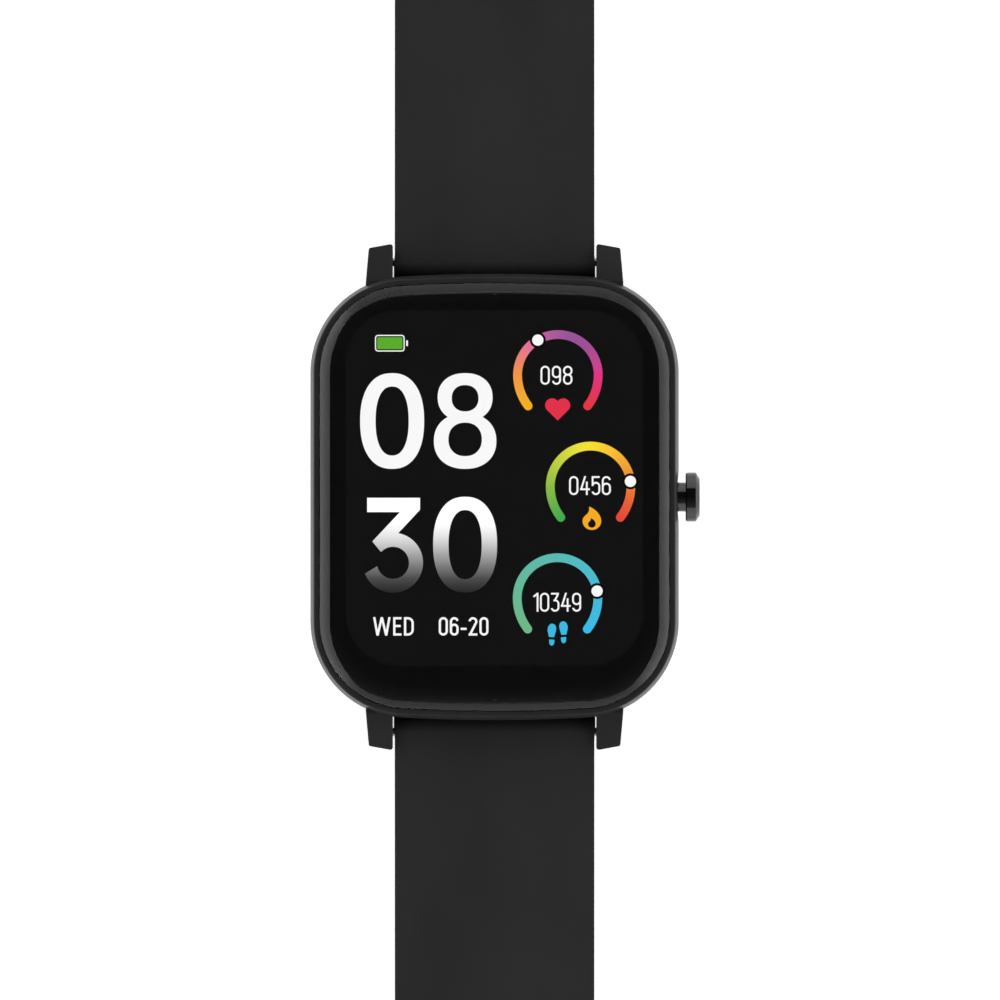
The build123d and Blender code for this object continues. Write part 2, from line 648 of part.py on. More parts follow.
with BuildPart() as crown_clip:
    with BuildSketch(Plane.YZ.offset(CLIP_X[0])):
        with Locations((0, CROWN_Z)):
            Circle(CLIP_R)
            Circle(CLIP_GROOVE_R + 0.02, mode=Mode.SUBTRACT)
        with Locations((0, CROWN_Z - 1.0)):
            Rectangle(*CLIP_MOUTH, mode=Mode.SUBTRACT)
    extrude(amount=CLIP_X[1] - CLIP_X[0])
finish(crown_clip.part, "crown_clip")

SWITCH_X = (11.9, 14.05)
SWITCH_W = 3.6
SWITCH_H = 3.0
SWITCH_FOOT = (12.6, 1.2)
PLUNGER_R = 0.75
PLUNGER_WELL = 0.9
PLUNGER_DEPTH = 0.35
with BuildPart() as switch_body:
    with BuildSketch(Plane.YZ.offset(SWITCH_X[0])):
        with Locations((0, CROWN_Z)):
            Rectangle(SWITCH_W, SWITCH_H)
    extrude(amount=SWITCH_X[1] - SWITCH_X[0])
    with BuildSketch(Plane.YZ.offset(SWITCH_X[1])):
        with Locations((0, CROWN_Z)):
            Circle(PLUNGER_R + FIT)
    extrude(amount=-PLUNGER_WELL, mode=Mode.SUBTRACT)
    with BuildSketch(Plane.XY.offset(BOARD_TOP)):
        with Locations((SWITCH_FOOT[0], 0)):
            Rectangle(SWITCH_FOOT[1], SWITCH_W)
    extrude(amount=CROWN_Z - SWITCH_H / 2 - BOARD_TOP)
finish(switch_body.part, "switch_body")

with BuildPart() as switch_plunger:
    with BuildSketch(Plane.YZ.offset(SWITCH_X[1] - PLUNGER_DEPTH)):
        with Locations((0, CROWN_Z)):
            Circle(PLUNGER_R)
    extrude(amount=STEM_TIP_X - SWITCH_X[1] + PLUNGER_DEPTH)
finish(switch_plunger.part, "switch_plunger")

# ---------------------------------------------------------------- spring bars
TUBE_R = 0.75
TUBE_BORE_R = 0.56
TUBE_HALF = 8.4
TUBE_MOUTH_R = 0.48
LIP = 0.3
PIN_R = 0.42
PIN_HEAD_R = 0.53
PIN_HEAD = (6.4, 8.0)
PIN_FLANGE = (9.72, 10.02)
PIN_FLANGE_R = 0.66
PIN_END = 11.35
LEVER_X = 7.2
LEVER_R = 0.4
LEVER_REACH = 2.15
LEVER_SEAT = 0.02
BAR_WIRE_R = 0.11
BAR_COIL_PITCH = 1.05
BAR_COIL_R = 0.41
LEVER_SLOT = (5.3, 7.8)
STRAP_BORE_R = 0.78
SLOT_W = 1.0
SLOT_CUT = 1.5
STRAP_SLOT = (3.1, 1.6)


def bar_plane(side):
    """Plane across a spring bar's axis, with X along the bar."""
    return Plane((0, side * BAR_Y, BAR_Z), x_dir=(1, 0, 0), z_dir=(0, 0, 1))


def bar_axis(side):
    return Axis((0, side * BAR_Y, BAR_Z), (1, 0, 0))


def make_bar_tube(side, name):
    with BuildPart() as tube:
        with BuildSketch(bar_plane(side)):
            with BuildLine():
                Polyline(
                    (-TUBE_HALF, TUBE_MOUTH_R),
                    (-TUBE_HALF, TUBE_R),
                    (TUBE_HALF, TUBE_R),
                    (TUBE_HALF, TUBE_MOUTH_R),
                    (TUBE_HALF - LIP, TUBE_MOUTH_R),
                    (TUBE_HALF - LIP, TUBE_BORE_R),
                    (LIP - TUBE_HALF, TUBE_BORE_R),
                    (LIP - TUBE_HALF, TUBE_MOUTH_R),
                    close=True,
                )
            make_face()
        revolve(axis=bar_axis(side))
        # slot that the release lever slides in
        with BuildSketch(Plane.XY.offset(BAR_Z)):
            with Locations((-sum(LEVER_SLOT) / 2, side * BAR_Y)):
                Rectangle(LEVER_SLOT[1] - LEVER_SLOT[0], SLOT_W)
        extrude(amount=-SLOT_CUT, mode=Mode.SUBTRACT)
    finish(tube.part, name)


def make_bar_pin(side, end, name):
    with BuildPart() as pin:
        with BuildSketch(bar_plane(side)):
            with BuildLine():
                Polyline(
                    (end * PIN_HEAD[0], 0),
                    (end * PIN_HEAD[0], PIN_HEAD_R),
                    (end * PIN_HEAD[1], PIN_HEAD_R),
                    (end * PIN_HEAD[1], PIN_R),
                    (end * PIN_FLANGE[0], PIN_R),
                    (end * PIN_FLANGE[0], PIN_FLANGE_R),
                    (end * PIN_FLANGE[1], PIN_FLANGE_R),
                    (end * PIN_FLANGE[1], PIN_R),
                    (end * (PIN_END - 0.15), PIN_R),
                    (end * PIN_END, PIN_R - 0.15),
                    (end * PIN_END, 0),
                    close=True,
                )
            make_face()
        revolve(axis=bar_axis(side))
    finish(pin.part, name)


def make_bar_spring(side, name):
    end = PIN_HEAD[0] - BAR_WIRE_R - 0.01
    with BuildPart() as spring:
        with BuildLine() as coil:
            Helix(
                BAR_COIL_PITCH,
                2 * end,
                BAR_COIL_R,
                center=(-end, side * BAR_Y, BAR_Z),
                direction=(1, 0, 0),
            )
        with BuildSketch(Plane(coil.line @ 0, z_dir=coil.line % 0)):
            RegularPolygon(BAR_WIRE_R, 8)
        sweep(path=coil.line, is_frenet=True)
    finish(spring.part, name)


def make_release_lever(side, name):
    with BuildPart() as lever:
        with BuildSketch(Plane.XY.offset(BAR_Z - LEVER_REACH)):
            with Locations((-LEVER_X, side * BAR_Y)):
                Circle(LEVER_R)
        extrude(amount=LEVER_REACH - PIN_HEAD_R + LEVER_SEAT)
        with BuildSketch(Plane.XY.offset(BAR_Z - LEVER_REACH)):
            with Locations((-LEVER_X, side * BAR_Y)):
                SlotOverall(2.8 * LEVER_R, 2.2 * LEVER_R)
        extrude(amount=LEVER_R)
    finish(lever.part, name)


for half, side in (("short", 1), ("long", -1)):
    make_bar_tube(side, f"bar_tube_{half}")
    make_bar_pin(side, -1, f"bar_pin_left_{half}")
    make_bar_pin(side, 1, f"bar_pin_right_{half}")
    make_bar_spring(side, f"bar_spring_{half}")
    make_release_lever(side, f"release_lever_{half}")

# ---------------------------------------------------------------- strap halves
TOP_CURVE = (1.0, 49.0)
TANG_END = 0.3
TIP_LENGTH = 7.0
UNDER_CURVE = (10.0, 50.0)
TAPER = (28.0, 50.0)
BUCKLE_Y = BAR_Y + SHORT_LENGTH
BUCKLE_Z = SHORT_FLOOR + STRAP_T / 2
END_BARREL_R = 1.7
BUCKLE_PIN_R = 0.75
NOTCH_W = 3.8
NOTCH_BACK = 4.0


def s_curve(u_from, z_from, u_to, z_to):
    """Two equal arcs that leave and arrive level, joining two heights."""
    span = u_to - u_from
    drop = z_from - z_to
    slope = 2 * atan(drop / span)
    radius = span / 2 / sin(slope)
    sag = radius * (1 - cos(slope / 2))
    quarter_u = radius * sin(slope / 2)
    mid = ((u_from + u_to) / 2, (z_from + z_to) / 2)
    first = ThreePointArc((u_from, z_from), (u_from + quarter_u, z_from - sag), mid)
    second = ThreePointArc(mid, (u_to - quarter_u, z_to + sag), (u_to, z_to))
    return first, second


class StrapSide(BaseSketchObject):
    """Side view of a strap half: round end at the bar, easing down to its flat run."""

    def __init__(self, floor, length, mode=Mode.ADD):
        top = BAR_Z + BARREL_R
        under = BAR_Z - BARREL_R
        with BuildSketch() as side_sketch:
            with BuildLine():
                Line((0, top), (TOP_CURVE[0], top))
                s_curve(TOP_CURVE[0], top, TOP_CURVE[1], floor + STRAP_T)
                Line((TOP_CURVE[1], floor + STRAP_T), (length, floor + STRAP_T))
                Line((length, floor + STRAP_T), (length, floor))
                Line((length, floor), (UNDER_CURVE[1], floor))
                s_curve(UNDER_CURVE[0], under, UNDER_CURVE[1], floor)
                Line((UNDER_CURVE[0], under), (0, under))
                ThreePointArc((0, under), (-BARREL_R, BAR_Z), (0, top))
            make_face()
        super().__init__(side_sketch.sketch, 0, None, mode)


class StrapPlan(BaseSketchObject):
    """Top view of a strap half: widest where it wraps the bar, tapering smoothly to the end width."""

    def __init__(self, length, round_tip, mode=Mode.ADD):
        wide = STRAP_W / 2
        slim = STRAP_END_W / 2
        with BuildSketch() as plan:
            with BuildLine():
                Line((-BARREL_R, 0), (-BARREL_R, STRAP_TANG_W / 2))
                Line((-BARREL_R, STRAP_TANG_W / 2), (0, STRAP_TANG_W / 2))
                Line((0, STRAP_TANG_W / 2), (TANG_END, wide))
                Line((TANG_END, wide), (TAPER[0], wide))
                s_curve(TAPER[0], wide, TAPER[1], slim)
                if round_tip:
                    Line((TAPER[1], slim), (length - TIP_LENGTH, slim))
                    ThreePointArc((length - TIP_LENGTH, slim), (length - 1.9, slim * 0.6), (length, 0))
                else:
                    Line((TAPER[1], slim), (length, slim))
                    Line((length, slim), (length, 0))
                Line((length, 0), (-BARREL_R, 0))
            make_face()
            mirror(about=Plane.XZ)
        super().__init__(plan.sketch, 0, None, mode)


# planes whose X runs out along a strap half from its bar
def out_side(side):
    return Plane((0, side * BAR_Y, 0), x_dir=(0, side, 0), z_dir=(side, 0, 0))


def out_top(side):
    return Plane((0, side * BAR_Y, 0), x_dir=(0, side, 0), z_dir=(0, 0, 1))


with BuildPart() as strap_short:
    with BuildSketch(out_side(1)):
        StrapSide(SHORT_FLOOR, SHORT_LENGTH)
        with Locations((SHORT_LENGTH, BUCKLE_Z)):
            Circle(END_BARREL_R)
    extrude(amount=STRAP_TANG_W / 2, both=True)
    with BuildSketch(out_top(1)):
        StrapPlan(SHORT_LENGTH + END_BARREL_R, False)
        with Locations((SHORT_LENGTH, 0)):
            Rectangle(2 * NOTCH_BACK, NOTCH_W, mode=Mode.SUBTRACT)
    extrude(amount=CASE_TOP, mode=Mode.INTERSECT)
    with BuildSketch(out_side(1)):
        with Locations((0, BAR_Z)):
            Circle(STRAP_BORE_R)
        with Locations((SHORT_LENGTH, BUCKLE_Z)):
            Circle(BUCKLE_PIN_R + FIT)
    extrude(amount=STRAP_W, both=True, mode=Mode.SUBTRACT)
    with BuildSketch(Plane.XY.offset(BAR_Z)):
        with Locations((-sum(LEVER_SLOT) / 2 - 0.1, BAR_Y)):
            Rectangle(*STRAP_SLOT)
    extrude(amount=-BARREL_R, mode=Mode.SUBTRACT)
finish(strap_short.part, "strap_short")

HOLE_FIRST = 38.0
HOLE_PITCH = 6.5
HOLE_COUNT = 10
HOLE_R = 1.1
with BuildPart() as strap_long:
    with BuildSketch(out_side(-1)):
        StrapSide(0, LONG_LENGTH)
    extrude(amount=STRAP_TANG_W / 2, both=True)
    with BuildSketch(out_top(-1)):
        StrapPlan(LONG_LENGTH, True)
        for number in range(HOLE_COUNT):
            with Locations((HOLE_FIRST + number * HOLE_PITCH, 0)):
                Circle(HOLE_R, mode=Mode.SUBTRACT)
    extrude(amount=CASE_TOP, mode=Mode.INTERSECT)
    with BuildSketch(out_side(-1)):
        with Locations((0, BAR_Z)):
            Circle(STRAP_BORE_R)
    extrude(amount=STRAP_W, both=True, mode=Mode.SUBTRACT)
    with BuildSketch(Plane.XY.offset(BAR_Z)):
        with Locations((-sum(LEVER_SLOT) / 2 - 0.1, -BAR_Y)):
            Rectangle(*STRAP_SLOT)
    extrude(amount=-BARREL_R, mode=Mode.SUBTRACT)
finish(strap_long.part, "strap_long")

# ---------------------------------------------------------------- keepers
KEEPER_CLEAR = 0.05
KEEPER_INNER_HALF = 9.3
KEEPER_ROOM = 2 * STRAP_T + 0.5
KEEPER_LENGTH = 6.0
KEEPER_CORNER_R = 1.2
FIXED_KEEPER_U = 72.5
FREE_KEEPER_U = 62.0


def make_keeper(centre_u, name, floor_gap):
    """Loop around the short strap with room above it for the long one."""
    inner_bottom = SHORT_FLOOR - floor_gap
    inner_top = SHORT_FLOOR + KEEPER_ROOM
    outer_half = KEEPER_INNER_HALF + KEEPER_WALL + 0.1
    with BuildPart() as keeper:
        with BuildSketch(Plane.XZ.offset(-(BAR_Y + centre_u))) as loop:
            with Locations((0, inner_top + KEEPER_WALL)):
                Rectangle(2 * outer_half, inner_top + KEEPER_WALL, align=(Align.CENTER, Align.MAX))
            fillet(loop.vertices(), KEEPER_CORNER_R)
            with Locations((0, inner_top)):
                Rectangle(
                    2 * KEEPER_INNER_HALF,
                    inner_top - inner_bottom,
                    align=(Align.CENTER, Align.MAX),
                    mode=Mode.SUBTRACT,
                )
        extrude(amount=KEEPER_LENGTH / 2, both=True)
    finish(keeper.part, name)


make_keeper(FIXED_KEEPER_U, "fixed_keeper", 0.0)
make_keeper(FREE_KEEPER_U, "free_keeper", KEEPER_CLEAR)

# ---------------------------------------------------------------- buckle
ARM_IN = 9.5
ARM_OUT = 11.3
ARM_HALF_H = 1.1
BAR_REACH = 9.6
FRONT_BAR_T = 2.2
ARM_END_WALL = 0.6
BUCKLE_CORNER_R = 2.6
NOSE_R = 1.0
TONGUE_W = 2.8
TONGUE_LOW = 2.05
TONGUE_HIGH = 3.15
TONGUE_RING_R = 1.45
TONGUE_REACH = BAR_REACH + 0.4

with BuildPart() as buckle_frame:
    with BuildSketch(out_top(1)):
        with Locations((SHORT_LENGTH, 0)):
            Rectangle(BAR_REACH + FRONT_BAR_T / 2, 2 * ARM_OUT, align=(Align.MIN, Align.CENTER))
            Rectangle(2 * END_BARREL_R, 2 * ARM_OUT)
        with Locations((SHORT_LENGTH, 0)):
            Rectangle(2 * (BAR_REACH - FRONT_BAR_T / 2), 2 * ARM_IN, mode=Mode.SUBTRACT)
    extrude(amount=BUCKLE_Z + ARM_HALF_H)
    fillet(buckle_frame.edges().filter_by(Axis.Z).group_by(Axis.Y)[-1], BUCKLE_CORNER_R)
    # side view: round ends at the pin, lower bar at the front for the tongue to lie on
    with BuildSketch(out_side(1)) as frame_side:
        with BuildLine():
            start = (SHORT_LENGTH, BUCKLE_Z + ARM_HALF_H)
            pin_back = (SHORT_LENGTH - ARM_HALF_H, BUCKLE_Z)
            pin_low = (SHORT_LENGTH, BUCKLE_Z - ARM_HALF_H)
            nose = SHORT_LENGTH + BAR_REACH + FRONT_BAR_T / 2
            ThreePointArc(start, pin_back, pin_low)
            Spline(
                pin_low,
                (SHORT_LENGTH + 6.0, 0.25),
                (nose - NOSE_R, 0),
                tangents=((1, -0.1), (1, 0)),
            )
            ThreePointArc((nose - NOSE_R, 0), (nose, NOSE_R), (nose - NOSE_R, 2 * NOSE_R))
            Spline(
                (nose - NOSE_R, 2 * NOSE_R),
                (SHORT_LENGTH + 6.0, 2.5),
                start,
                tangents=((-1, 0), (-1, 0.1)),
            )
        make_face()
    extrude(amount=ARM_OUT + 1, both=True, mode=Mode.INTERSECT)
    with BuildSketch(out_side(1)):
        with Locations((SHORT_LENGTH, BUCKLE_Z)):
            Circle(BUCKLE_PIN_R)
    extrude(amount=ARM_OUT - ARM_END_WALL, both=True, mode=Mode.SUBTRACT)
finish(buckle_frame.part, "buckle_frame")

with BuildPart() as buckle_pin:
    with BuildSketch(out_side(1)):
        with Locations((SHORT_LENGTH, BUCKLE_Z)):
            Circle(BUCKLE_PIN_R)
    extrude(amount=ARM_OUT - ARM_END_WALL, both=True)
finish(buckle_pin.part, "buckle_pin")

with BuildPart() as buckle_tongue:
    with BuildSketch(out_side(1)):
        with Locations((SHORT_LENGTH, BUCKLE_Z)):
            Circle(TONGUE_RING_R)
        with Locations((SHORT_LENGTH, TONGUE_LOW)):
            Rectangle(TONGUE_REACH, TONGUE_HIGH - TONGUE_LOW, align=(Align.MIN, Align.MIN))
        with Locations((SHORT_LENGTH, BUCKLE_Z)):
            Circle(BUCKLE_PIN_R + FIT, mode=Mode.SUBTRACT)
    extrude(amount=TONGUE_W / 2, both=True)
    fillet(buckle_tongue.edges().filter_by(Axis.Z).group_by(Axis.Y)[-1], 0.9)
    fillet(buckle_tongue.faces().sort_by(Axis.Y)[-1].edges().filter_by(Axis.X).sort_by(Axis.Z)[-1], 0.5)
finish(buckle_tongue.part, "buckle_tongue")
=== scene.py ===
import json
import math

import bmesh
import bpy
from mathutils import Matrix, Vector
from mathutils.geometry import delaunay_2d_cdt


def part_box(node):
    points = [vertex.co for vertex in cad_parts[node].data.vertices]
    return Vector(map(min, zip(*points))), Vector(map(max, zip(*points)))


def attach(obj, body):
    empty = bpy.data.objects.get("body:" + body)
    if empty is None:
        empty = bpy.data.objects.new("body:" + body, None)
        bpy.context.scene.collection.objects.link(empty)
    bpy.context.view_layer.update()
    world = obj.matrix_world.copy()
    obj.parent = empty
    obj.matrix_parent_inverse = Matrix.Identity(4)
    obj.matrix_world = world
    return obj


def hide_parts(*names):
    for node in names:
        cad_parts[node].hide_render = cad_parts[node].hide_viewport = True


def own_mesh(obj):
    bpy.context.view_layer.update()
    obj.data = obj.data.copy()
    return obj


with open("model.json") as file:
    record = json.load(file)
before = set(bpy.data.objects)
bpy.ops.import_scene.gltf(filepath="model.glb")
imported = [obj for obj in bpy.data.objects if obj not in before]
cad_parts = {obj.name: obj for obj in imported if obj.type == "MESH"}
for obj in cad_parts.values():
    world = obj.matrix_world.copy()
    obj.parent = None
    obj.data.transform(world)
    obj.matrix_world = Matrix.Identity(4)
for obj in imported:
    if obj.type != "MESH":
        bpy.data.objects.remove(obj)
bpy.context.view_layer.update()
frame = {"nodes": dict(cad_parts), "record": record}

# Lengths below are in millimetres in the watch's frame: +X to the crown, +Y to 12 o'clock, +Z up.
MM = 0.001


# ---------------------------------------------------------------- shader helpers
def add_node(tree, kind, inputs=(), **settings):
    """Add a shader node. Inputs maps a socket's name or number to a value or to another node's output."""
    made = tree.nodes.new("ShaderNode" + kind)
    for key, value in settings.items():
        setattr(made, key, value)
    for key, value in dict(inputs).items():
        if isinstance(value, bpy.types.NodeSocket):
            tree.links.new(value, made.inputs[key])
        else:
            made.inputs[key].default_value = value
    return made


def calculate(tree, operation, *values, clamp=False):
    return add_node(tree, "Math", enumerate(values), operation=operation, use_clamp=clamp).outputs[0]


def rescale(tree, value, source, target, smooth=False):
    """Map a range of values to another one, held at its ends."""
    kind = "SMOOTHSTEP" if smooth else "LINEAR"
    sockets = enumerate((value, *source, *target))
    return add_node(tree, "MapRange", sockets, interpolation_type=kind).outputs[0]


def colour_ramp(tree, factor, stops):
    """Stops are (position, (r, g, b)) from the lowest position to the highest."""
    made = add_node(tree, "ValToRGB", {"Fac": factor})
    elements = made.color_ramp.elements
    elements[0].position, elements[1].position = stops[0][0], stops[-1][0]
    elements[0].color, elements[1].color = (*stops[0][1], 1), (*stops[-1][1], 1)
    for position, colour in stops[1:-1]:
        elements.new(position).color = (*colour, 1)
    return made.outputs["Color"]


def object_place(tree):
    return add_node(tree, "TexCoord").outputs["Object"]


def stretched(tree, place, stretch):
    return add_node(tree, "Mapping", {"Vector": place, "Scale": stretch}).outputs[0]


def noise(tree, place, size, detail=3.0):
    """Noise from 0 to 1 whose features are about size millimetres across."""
    inputs = {"Vector": place, "Scale": 1 / (size * MM), "Detail": detail}
    return add_node(tree, "TexNoise", inputs).outputs[0]


def bump(tree, height, depth, normal=None):
    inputs = {"Height": height, "Distance": depth * MM, "Strength": 1.0}
    if normal is not None:
        inputs["Normal"] = normal
    return add_node(tree, "Bump", inputs).outputs[0]


def linear(code):
    """A display colour such as 0xfcb030 as linear light."""
    channels = ((code >> 16) & 255, (code >> 8) & 255, code & 255)
    return tuple((c / 255 + 0.055) ** 2.4 / 1.055**2.4 if c > 10 else c / 255 / 12.92 for c in channels)


def new_material(name):
    material = bpy.data.materials.new(name)
    material.use_nodes = True
    return material.node_tree, material.node_tree.nodes["Principled BSDF"], material


def set_inputs(shader, tree, values):
    for key, value in values.items():
        if isinstance(value, bpy.types.NodeSocket):
            tree.links.new(value, shader.inputs[key])
        else:
            shader.inputs[key].default_value = value


def surface(name, colour, rough, metal=0.0, gloss=0.5, vary=0.1, cell=5.0, grain=0.12, depth=0.003,
            stretch=(1, 1, 1), **more):
    """A solid finish: colour and gloss drift over patches of cell mm, with a grain of that size and depth."""
    tree, shader, material = new_material(name)
    place = object_place(tree)
    drift = noise(tree, place, cell)
    darker = tuple(c * (1 - vary) for c in colour)
    lighter = tuple(c * (1 + vary) for c in colour)
    fine = noise(tree, stretched(tree, place, stretch), grain, 2.0)
    values = {
        "Base Color": colour_ramp(tree, drift, [(0.3, darker), (0.7, lighter)]),
        "Roughness": rescale(tree, fine, (0.3, 0.7), (rough * 0.9, rough * 1.1)),
        "Metallic": metal,
        "Specular IOR Level": gloss,
        "Normal": bump(tree, fine, depth),
    }
    set_inputs(shader, tree, values)
    set_inputs(shader, tree, more)
    return material


# ---------------------------------------------------------------- materials of the watch
def make_silicone():
    """Matt silicone rubber with a fine moulded grain and faint handling marks."""
    tree, shader, material = new_material("strap")
    place = object_place(tree)
    grain = noise(tree, place, 0.11, 2.0)
    marks = noise(tree, stretched(tree, place, (1, 0.35, 1)), 9.0, 4.0)
    set_inputs(shader, tree, {
        "Base Color": colour_ramp(tree, marks, [(0.3, (0.0133, 0.0133, 0.0137)),
                                                (0.75, (0.0158, 0.0158, 0.0162))]),
        "Roughness": rescale(tree, marks, (0.35, 0.7), (0.50, 0.58)),
        "Specular IOR Level": 0.3,
        "Normal": bump(tree, grain, 0.004),
    })
    return material


def make_glass():
    """Clear cover glass, very slightly wavy."""
    tree, shader, material = new_material("cover_glass")
    waves = noise(tree, object_place(tree), 12.0, 1.0)
    set_inputs(shader, tree, {
        "Base Color": (1, 1, 1, 1),
        "Roughness": 0.0,
        "IOR": 1.41,
        "Transmission Weight": 1.0,
        "Normal": bump(tree, waves, 0.0004),
    })
    return material


def make_sensor_window():
    """Dark tinted window over the pulse sensor."""
    tree, shader, material = new_material("sensor_window")
    cloud = noise(tree, object_place(tree), 2.5, 2.0)
    set_inputs(shader, tree, {
        "Base Color": colour_ramp(tree, cloud, [(0.3, (0.16, 0.17, 0.19)), (0.7, (0.2, 0.21, 0.23))]),
        "Roughness": 0.02,
        "IOR": 1.5,
        "Transmission Weight": 1.0,
    })
    return material


def make_circuit_board():
    """Green solder mask over copper tracks, with vias."""
    tree, shader, material = new_material("circuit_board")
    place = object_place(tree)
    tracks = add_node(tree, "TexBrick", {
        "Vector": place, "Scale": 1 / (1.6 * MM), "Mortar Size": 0.035, "Mortar Smooth": 0.1,
    }).outputs["Fac"]
    cells = add_node(tree, "TexVoronoi", {"Vector": place, "Scale": 1 / (1.9 * MM)}).outputs["Distance"]
    vias = rescale(tree, cells, (0.06, 0.08), (1.0, 0.0))
    copper = calculate(tree, "MAXIMUM", calculate(tree, "MULTIPLY", tracks, 0.35), vias)
    set_inputs(shader, tree, {
        "Base Color": colour_ramp(tree, copper, [(0.0, (0.006, 0.05, 0.025)), (0.35, (0.015, 0.11, 0.04)),
                                                 (1.0, (0.7, 0.5, 0.2))]),
        "Roughness": 0.35,
        "Metallic": vias,
        "Normal": bump(tree, copper, 0.02),
    })
    return material


def make_battery():
    """Laminated foil pouch, slightly crinkled."""
    tree, shader, material = new_material("battery")
    place = object_place(tree)
    crinkle = noise(tree, place, 2.2, 4.0)
    set_inputs(shader, tree, {
        "Base Color": colour_ramp(tree, crinkle, [(0.3, (0.5, 0.51, 0.53)), (0.7, (0.66, 0.67, 0.69))]),
        "Roughness": rescale(tree, crinkle, (0.3, 0.7), (0.28, 0.42)),
        "Metallic": 0.85,
        "Normal": bump(tree, crinkle, 0.05),
    })
    return material


SCREEN_BLACK = 0.0032


def make_display():
    """Powered display: near black, with the faint glow of a lit panel and its pixel grid."""
    tree, shader, material = new_material("display")
    place = object_place(tree)
    pixels = add_node(tree, "TexBrick", {
        "Vector": place, "Scale": 1 / (0.06 * MM), "Mortar Size": 0.08, "Brick Width": 1.0, "Row Height": 1.0,
    }).outputs["Fac"]
    glow = noise(tree, place, 14.0, 2.0)
    set_inputs(shader, tree, {
        "Base Color": colour_ramp(tree, pixels, [(0.0, (0.002, 0.002, 0.0022)),
                                                 (1.0, (0.001, 0.001, 0.001))]),
        "Roughness": 0.4,
        "Specular IOR Level": 0.0,
        "Emission Color": colour_ramp(tree, glow, [(0.3, (0.95, 0.95, 0.96)), (0.7, (1.0, 1.0, 1.02))]),
        "Emission Strength": SCREEN_BLACK,
    })
    return material


BLACK_STEEL = (0.062, 0.062, 0.066)
STEEL = (0.56, 0.56, 0.58)
BRUSHED = (1, 14, 14)

slot_materials = {
    "case": surface("case", (0.0235, 0.0235, 0.0244), 0.34, gloss=0.06, grain=0.1, depth=0.002),
    "back_cover": surface("back_cover", (0.012, 0.012, 0.013), 0.16, grain=0.3, depth=0.0008),
    "screw_steel": surface("screw_steel", STEEL, 0.3, metal=1.0, grain=0.08, stretch=BRUSHED),
    "seal_rubber": surface("seal_rubber", (0.014, 0.014, 0.014), 0.7, gloss=0.3, grain=0.08, depth=0.006),
    "cover_glass": make_glass(),
    "adhesive": surface("adhesive", (0.003, 0.003, 0.003), 0.8, gloss=0.0, grain=0.2),
    "sensor_window": make_sensor_window(),
    "led": surface("led", (0.16, 0.62, 0.2), 0.3, cell=0.7, vary=0.3, grain=0.2),
    "photodiode": surface("photodiode", (0.02, 0.022, 0.05), 0.15, cell=1.0, vary=0.4, grain=0.2),
    "light_barrier": surface("light_barrier", (0.008, 0.008, 0.008), 0.9, gloss=0.1, grain=0.1, depth=0.02),
    "circuit_board": make_circuit_board(),
    "gold_contact": surface("gold_contact", (0.86, 0.62, 0.26), 0.2, metal=1.0, cell=0.8, grain=0.1),
    "magnet": surface("magnet", (0.62, 0.6, 0.57), 0.26, metal=1.0, cell=1.0, grain=0.15),
    "display": make_display(),
    "plate_steel": surface("plate_steel", STEEL, 0.32, metal=1.0, grain=0.2, stretch=BRUSHED),
    "chassis": surface("chassis", (0.03, 0.03, 0.032), 0.55, grain=0.25, depth=0.01),
    "chip": surface("chip", (0.022, 0.022, 0.024), 0.42, cell=1.5, grain=0.1, depth=0.004),
    "battery": make_battery(),
    "tungsten": surface("tungsten", (0.24, 0.235, 0.23), 0.42, metal=1.0, grain=0.12, depth=0.006),
    "crown": surface("crown", BLACK_STEEL, 0.1, metal=1.0, vary=0.04, grain=0.25, depth=0.0006,
                     stretch=(10, 1, 1)),
    "spring_steel": surface("spring_steel", (0.5, 0.5, 0.52), 0.25, metal=1.0, grain=0.1, stretch=(1, 8, 8)),
    "switch": surface("switch", (0.045, 0.045, 0.048), 0.4, cell=1.0, grain=0.15),
    "strap": make_silicone(),
    "buckle": surface("buckle", BLACK_STEEL, 0.2, metal=1.0, vary=0.06, grain=0.2, depth=0.0012,
                      stretch=(1, 8, 8)),
}
for row in frame["record"]["subparts"]:
    node = frame["nodes"][row["node"]]
    node.data.materials.clear()
    node.data.materials.append(slot_materials[row["material_slot"]])


# ---------------------------------------------------------------- soft-edged pieces over CAD nodes
FLAT_ANGLE = math.radians(0.4)
EDGE_ANGLE = math.radians(32)


def add_piece(name, mesh, material, body):
    piece = bpy.data.objects.new(name, mesh)
    bpy.context.scene.collection.objects.link(piece)
    mesh.materials.append(material)
    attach(piece, body)
    return piece


def soften(node_name, body, slot, width, segments=3):
    """Stand for a CAD node with the same shape whose edges are rounded."""
    shape = bmesh.new()
    shape.from_mesh(frame["nodes"][node_name].data)
    bmesh.ops.remove_doubles(shape, verts=shape.verts, dist=0.002 * MM)
    bmesh.ops.dissolve_limit(shape, angle_limit=FLAT_ANGLE, verts=shape.verts, edges=shape.edges)
    plain = bpy.data.meshes.new(node_name + "_look")
    points = [v.co.copy() for v in shape.verts]
    plain.from_pydata(points, [], [[v.index for v in f.verts] for f in shape.faces])
    shape.free()
    piece = add_piece(node_name + "_look", plain, slot_materials[slot], body)
    rounding = piece.modifiers.new("edges", "BEVEL")
    rounding.width = width * MM
    rounding.segments = segments
    rounding.limit_method = "ANGLE"
    rounding.angle_limit = EDGE_ANGLE
    rounding.use_clamp_overlap = True
    plain.shade_smooth()
    shading = piece.modifiers.new("shading", "WEIGHTED_NORMAL")
    shading.keep_sharp = True
    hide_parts(node_name)
    return piece


